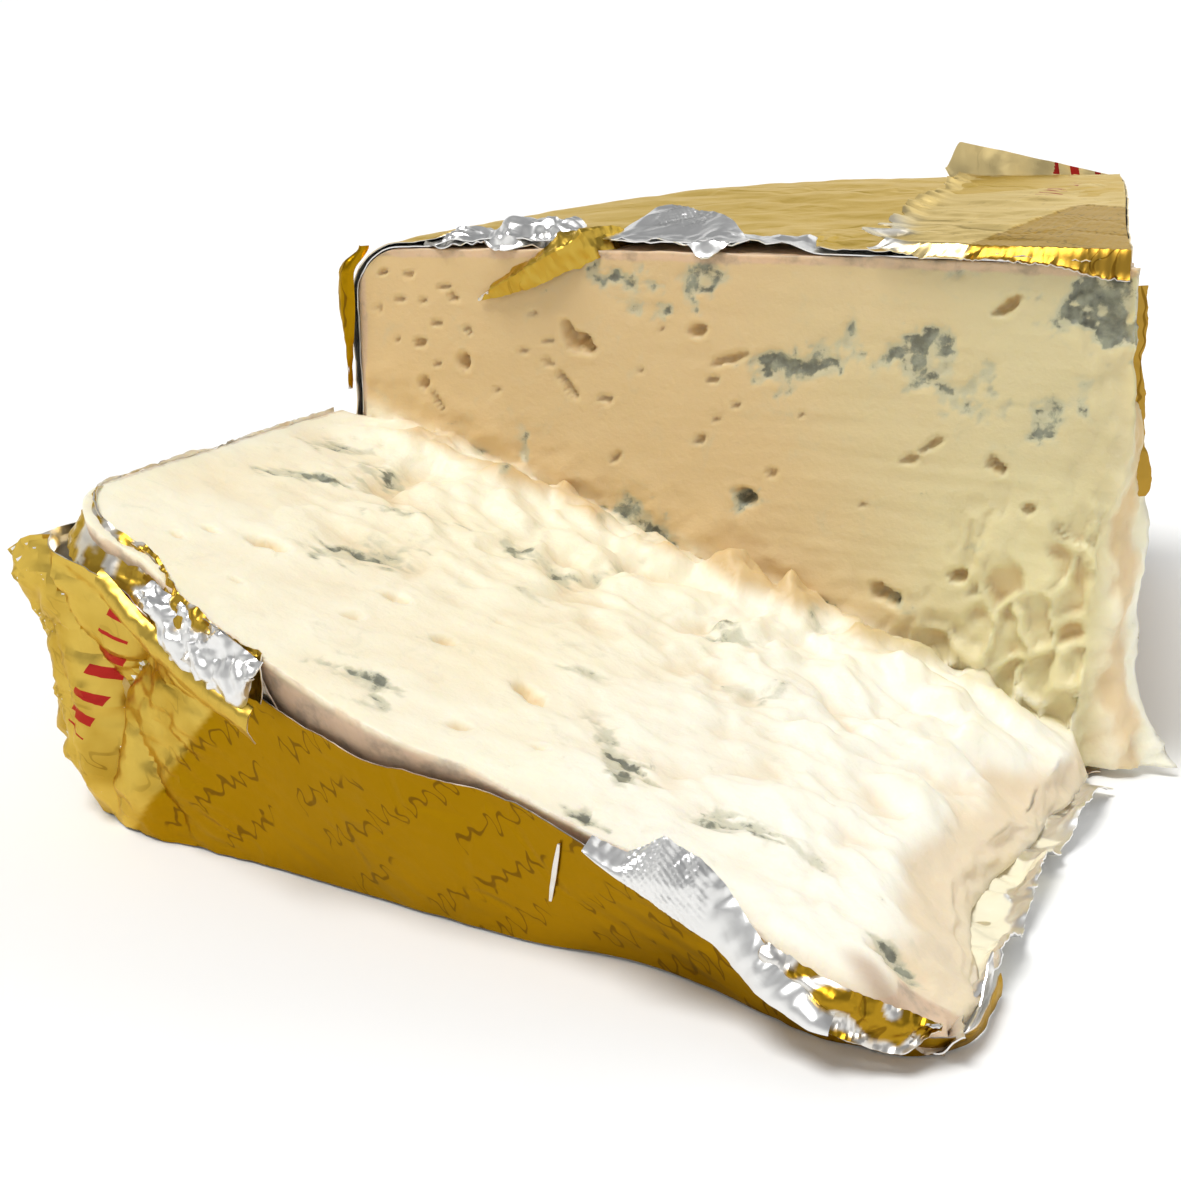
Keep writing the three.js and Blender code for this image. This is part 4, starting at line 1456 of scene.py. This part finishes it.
def front_fold():
    """The wrapper's edge rolled out below the tuft of lining at the front."""
    x = span(-138, -104, 80)
    t = rise(14)
    z = np.interp(x, WALL_EDGE_X, WALL_EDGE_Z) + 0.3 - 5.5 * t**1.2
    y = front_edge(x, 1.0) - 2.6 - 1.8 * np.sin(math.pi * t) + 0 * x
    grid = spread(x, y, z)
    grid = crumple(grid, 0.5, 6.0, seed=195)[::-1]
    return foil_shell(grid, sheet=grid, tone=0.9)


def tip_fold():
    """Dark crumpled gold folded in under the cheese's edge near the thin end."""
    x = span(-36, -4, 90)
    t = rise(22)
    ends = smooth(-36, -31, x) * smooth(-4, -8, x)
    top = lying_top_z(x) - 0.4 + 0.5 * jag(x[0], 196)[None]
    foot = np.interp(x, [-36, -30, -24, -17, -9, -4], [16, 13, 9.5, 6.0, 3.6, 3.0])
    z = top + (np.minimum(foot, top - 1) - top) * t * (0.3 + 0.7 * ends)
    y = front_edge(x, 1.0) - 0.7 - 2.6 * t * ends - 0.7 * np.sin(t * 6) + 0 * x
    grid = crumple(spread(x, y, z), 0.9, 4.5, seed=197)[::-1]
    flecks = smooth(0.1, 0.3, grid_noise(grid, 3.5, seed=198))
    return foil_shell(grid, sheet=grid, tone=0.15, silver=0.9 * flecks)


def make_front_lining(material):
    grid, sheet = front_wall(0.9, lining_top, 44, 1.2, 201, lining_amount, 6.0, False)
    flecks = smooth(-0.1, 0.3, grid_noise(grid, 4, seed=203))
    bare = np.maximum(smooth(-108, -98, grid[..., 0]), 0.75 * flecks)
    wall = foil_shell(grid, sheet=sheet, tone=0.3, silver=bare)
    shells = [wall, lining_tuft(), turned_lining(), tip_lining()]
    return make_foil("silver_front_lining", shells, material, "front_inner_foil")


def lining_tuft():
    """Crumpled lining gathered over the wrapper's edge at the front."""
    x = span(-127, -103, 80)
    t = rise(30)
    deep = 8.5 * smooth(-128, -121, x) * smooth(-102, -107, x) + 1.0 * jag(x[0], 206)[None]
    z = lying_top_z(x) + 0.2 - (1.0 + deep) * t
    y = front_edge(x, 1.0) - 1.0 - 3.4 * np.sin(math.pi * np.clip(t * 0.8, 0, 1)) + 0 * x
    grid = spread(x, y, z)
    grid = crumple(grid, 1.3, 5.0, seed=205)[::-1]
    return foil_shell(grid, sheet=grid, silver=1.0)


def turned_lining():
    """The long silver flap turned down over the wrapper near the thin end."""
    x = span(-51, -16, 120)
    t = rise(40)
    top = np.interp(x, [-51, -46, -41, -36, -30.5, -26.5, -16], [22.4, 20.9, 24.2, 22.2, 17.4, 14.2, 8.0])
    top = top + 0.25 * jag(x[0], 212)[None]
    foot = np.interp(x, [-51, -49, -42, -35, -28, -21.5, -16], [21.8, 20.6, 17.0, 13.2, 9.4, 7.0, 6.2])
    foot = np.minimum(foot, top - 0.5)
    z = top + (foot - top) * t
    y = front_edge(x, 1.0) - 0.8 - 2.2 * np.sin(math.pi * np.clip(0.05 + t * 0.6, 0, 1)) - 1.6 * t + 0 * x
    grid = spread(x, y, z)
    grid = crumple(grid, 0.55, 10.0, seed=211)[::-1]
    x_now = grid[..., 0]
    mesh_area = smooth(-46, -45, x_now) * smooth(-34, -35, x_now)
    bumps = np.sin(x_now * 6.6) * np.sin(grid[..., 2] * 6.6)
    grid = grid + grid_normals(grid) * (0.10 * mesh_area * bumps)[..., None]
    return foil_shell(grid, sheet=grid, tone=mesh_area, silver=1.0)


def tip_lining():
    """Lining left bare past the torn thin end, rucked and turned up at its border."""
    y = np.linspace(-99, -6, 150)[:, None]
    u = span(0, 1, 34)
    reach = np.interp(y, [-99, -90, -70, -50, -30, -15, -6], [4.5, 3.0, 5.0, 4.0, 5.5, 7.0, 8.0])
    reach = reach + 0.8 * jag(y[:, 0], 221)[:, None]
    x = -14 + (14 + reach - 6) * u
    z = 1.6 + 0.5 * np.sin(y * 0.4 + x * 0.3) + 3.6 * smooth(0.72, 1.0, u) * (0.7 + 0.5 * np.sin(y * 0.23))
    grid = spread(x, y, z)
    grid = crumple(grid, 0.7, 6.0, seed=222)
    wet = fbm(grid.reshape(-1, 3), 9, 3, seed=224).reshape(z.shape)
    smear = smooth(0.95, 0.35, u + 0.5 * wet) * (0.35 + 0.65 * smooth(-95, -60, y)) + 0 * z
    return foil_shell(grid, sheet=grid, silver=1.0, smear=smear)


MUSTARD = (0.36, 0.19, 0.002)
PALE_GOLD = (0.64, 0.44, 0.08)
LIGHT_GOLD = (0.84, 0.68, 0.34)
GOLD_SHEEN = (1.0, 0.88, 0.55, 1.0)
SILVER_SHEEN = (1.0, 1.0, 1.0, 1.0)
INK = (0.16, 0.075, 0.004)
RED = (0.42, 0.025, 0.02)


def foil_material(name, dark, pale, rough, printed=True, sheen=GOLD_SHEEN):
    """Metal foil: gold outside, silver where the silver attribute says, with fine creases and printing."""
    n = Nodes(name)
    silver = n.attribute("silver").outputs["Fac"]
    tone = n.attribute("tone").outputs["Fac"]
    base = n.blend(tone, dark, pale)
    if printed:
        base = print_script(n, base, tone)
        base = print_bars(n, base)
    dirty = n.blend(n.times(n.noise(60, 5), 0.35), (0.88, 0.87, 0.85), (0.55, 0.55, 0.54))
    smear = n.attribute("smear").outputs["Fac"]
    wet = n.step(n.plus(smear, n.minus(n.noise(130, 4), 0.5)), 0.3, 0.62)
    colour = n.blend(wet, n.blend(silver, base, dirty), (0.84, 0.79, 0.60))
    creases = n.add("ShaderNodeTexVoronoi", feature="DISTANCE_TO_EDGE", Scale=60)
    warp = n.add("ShaderNodeVectorMath", operation="MULTIPLY_ADD")
    wander = n.add("ShaderNodeTexNoise", Scale=45)
    n.link(n.place, wander.inputs["Vector"])
    n.link(wander.outputs["Color"], warp.inputs[0])
    warp.inputs[1].default_value = (0.02, 0.02, 0.02)
    n.link(n.place, warp.inputs[2])
    n.link(warp.outputs[0], creases.inputs["Vector"])
    crease = n.step(creases.outputs["Distance"], 0.0, 0.10)
    patchy = n.step(n.noise(28, 2), 0.45, 0.62)
    height = n.plus(n.times(n.times(crease, patchy), 0.35), n.noise(55, 4, 0.5, 0.6))
    fine = n.plus(height, n.times(n.noise(260, 3), 0.12))
    roughness = n.plus(rough, n.times(n.noise(70, 3), 0.22))
    return n.finish(
        **{
            "Base Color": colour,
            "Metallic": n.times(n.minus(1.0, wet), 0.97),
            "Roughness": roughness,
            "Specular Tint": sheen,
            "Normal": n.bump(fine, 0.0012, 0.45),
            "IOR": 1.45,
        }
    )


def print_script(n, base, tone):
    """Thin brown scribbles in slanted rows on the mustard foil."""
    place = n.attribute("sheet").outputs["Vector"]
    turn = n.add("ShaderNodeVectorRotate", rotation_type="Z_AXIS", Angle=math.radians(34))
    n.link(place, turn.inputs["Vector"])
    split = n.add("ShaderNodeSeparateXYZ")
    n.link(turn.outputs["Vector"], split.inputs[0])
    rows = n.maths("FRACT", n.times(split.outputs["Y"], 1 / 7.5))
    unsteady = n.add("ShaderNodeTexNoise", Scale=0.22, Detail=1.0)
    n.link(turn.outputs["Vector"], unsteady.inputs["Vector"])
    phase = n.plus(n.times(split.outputs["X"], 2.1), n.times(unsteady.outputs["Fac"], 9.0))
    tall = n.times(n.step(unsteady.outputs["Color"], 0.35, 0.65), 0.26)
    wave = n.times(n.maths("SINE", phase), n.plus(tall, 0.06))
    line = n.maths("ABSOLUTE", n.minus(n.minus(rows, 0.5), wave))
    stroke = n.minus(1.0, n.step(line, 0.03, 0.075))
    words = n.add("ShaderNodeTexNoise", Scale=0.09, Detail=0.0)
    n.link(turn.outputs["Vector"], words.inputs["Vector"])
    here = n.step(words.outputs["Fac"], 0.42, 0.47)
    ink = n.times(stroke, here)
    ink = n.times(ink, n.maths("SUBTRACT", 1.0, tone, clamp=True))
    return n.blend(n.times(ink, 0.85), base, INK)


def print_bars(n, base):
    """Plain red bars of uneven width where the label's printing was."""
    split = n.add("ShaderNodeSeparateXYZ")
    n.link(n.attribute("label").outputs["Vector"], split.inputs[0])
    along, across, inside = split.outputs["X"], split.outputs["Y"], split.outputs["Z"]
    slanted = n.plus(along, n.times(across, 0.25))
    beat = n.maths("FRACT", n.times(slanted, 1 / 4.6))
    bar = n.times(n.maths("GREATER_THAN", beat, 0.30), n.maths("LESS_THAN", beat, 0.72))
    beat_two = n.maths("FRACT", n.times(slanted, 1 / 11.3))
    bar = n.times(bar, n.maths("GREATER_THAN", beat_two, 0.18))
    tall = n.maths("LESS_THAN", n.maths("ABSOLUTE", across), 2.6)
    ink = n.times(n.times(bar, tall), n.maths("GREATER_THAN", inside, 0.9))
    return n.blend(ink, base, RED)


# Stage and light

# Distance from the middle and height of each ring of the floor, in metres
FLOOR_RINGS = [
    (0.5, 0.0), (1.6, 0.0), (1.9, 0.03), (2.2, 0.12), (2.6, 0.36), (3.0, 0.75), (3.4, 1.3), (3.8, 2.0),
]
FLOOR_STEPS = 96
FLOOR_COLOUR = (0.93, 0.93, 0.92, 1)
SKY_COLOUR = (0.95, 0.97, 1.0, 1)
SKY_STRENGTH = 0.27
KEY_STRENGTH = 2.5
KEY_SPREAD = math.radians(28)
KEY_WAY = (0.30, 0.38, -1.12)
# Place, aim, size and power
FILL = ((1.0, -0.9, 0.45), (0.0, 0.0, 0.05), 0.7, 0.5)
BACK = ((0.35, 0.8, 0.9), (0.0, 0.03, 0.08), 0.7, 2.2)


def make_stage():
    """A pale floor that rises all round far from the object, so the background is plain too."""
    around = np.linspace(0, 2 * math.pi, FLOOR_STEPS + 1)[:-1]
    points = [[reach * math.cos(a), reach * math.sin(a), high] for reach, high in FLOOR_RINGS for a in around]
    ids = np.arange(len(points)).reshape(-1, FLOOR_STEPS)
    faces = [ids[0].tolist()]
    for inner, outer in zip(ids[:-1], ids[1:]):
        faces += ring_quads(inner, outer)
    floor = make_object("floor", np.array(points), faces, in_row=True)
    floor.data.shade_smooth()
    n = Nodes("pale_floor")
    floor.data.materials.append(n.finish(**{"Base Color": FLOOR_COLOUR, "Roughness": 0.7}))


def make_sky():
    world = bpy.data.worlds.new("studio")
    bpy.context.scene.world = world
    world.use_nodes = True
    background = world.node_tree.nodes["Background"]
    background.inputs["Color"].default_value = SKY_COLOUR
    background.inputs["Strength"].default_value = SKY_STRENGTH


def aimed(name, data, place, way):
    """A light or camera in the scene, at a place and looking along a direction."""
    obj = bpy.data.objects.new(name, data)
    obj.location = place
    obj.rotation_mode = "QUATERNION"
    obj.rotation_quaternion = Vector(way).to_track_quat("-Z", "Y")
    bpy.context.scene.collection.objects.link(obj)
    return obj


def area_light(name, place, aim, size, power):
    data = bpy.data.lights.new(name, "AREA")
    data.shape = "SQUARE"
    data.size = size
    data.energy = power
    aimed(name, data, place, Vector(aim) - Vector(place))


def make_lights():
    sun = bpy.data.lights.new("key", "SUN")
    sun.energy = KEY_STRENGTH
    sun.angle = KEY_SPREAD
    aimed("key", sun, (0, 0, 0), KEY_WAY)
    area_light("fill", *FILL)
    area_light("back", *BACK)


def make_camera():
    data = bpy.data.cameras.new("camera")
    data.sensor_width = SENSOR_WIDTH
    data.lens = CAMERA_LENS
    a, e = CAMERA_AZIMUTH, CAMERA_ELEVATION
    look = (-math.sin(a) * math.cos(e), math.cos(a) * math.cos(e), -math.sin(e))
    bpy.context.scene.camera = aimed("camera", data, row(CAMERA_PLACE), look)
    bpy.context.scene.view_settings.view_transform = "Standard"


# Building

make_camera()
make_lights()
make_stage()
make_sky()

cheese = make_cheese()
paint_cheese(cheese)
cheese.data.materials.clear()
cheese.data.materials.append(cheese_material())
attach(cheese, "root")
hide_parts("cheese")

gold = foil_material("gold_foil", MUSTARD, PALE_GOLD, 0.22)
pale = foil_material("pale_gold_foil", MUSTARD, LIGHT_GOLD, 0.24)
lining = foil_material("silver_foil", MUSTARD, PALE_GOLD, 0.20, printed=False, sheen=SILVER_SHEEN)
make_back_wrapper(gold)
make_back_lining(lining)
make_overlap(pale)
make_torn_strip(gold)
make_silver_flap(lining)
make_front_wrapper(gold)
make_front_lining(lining)
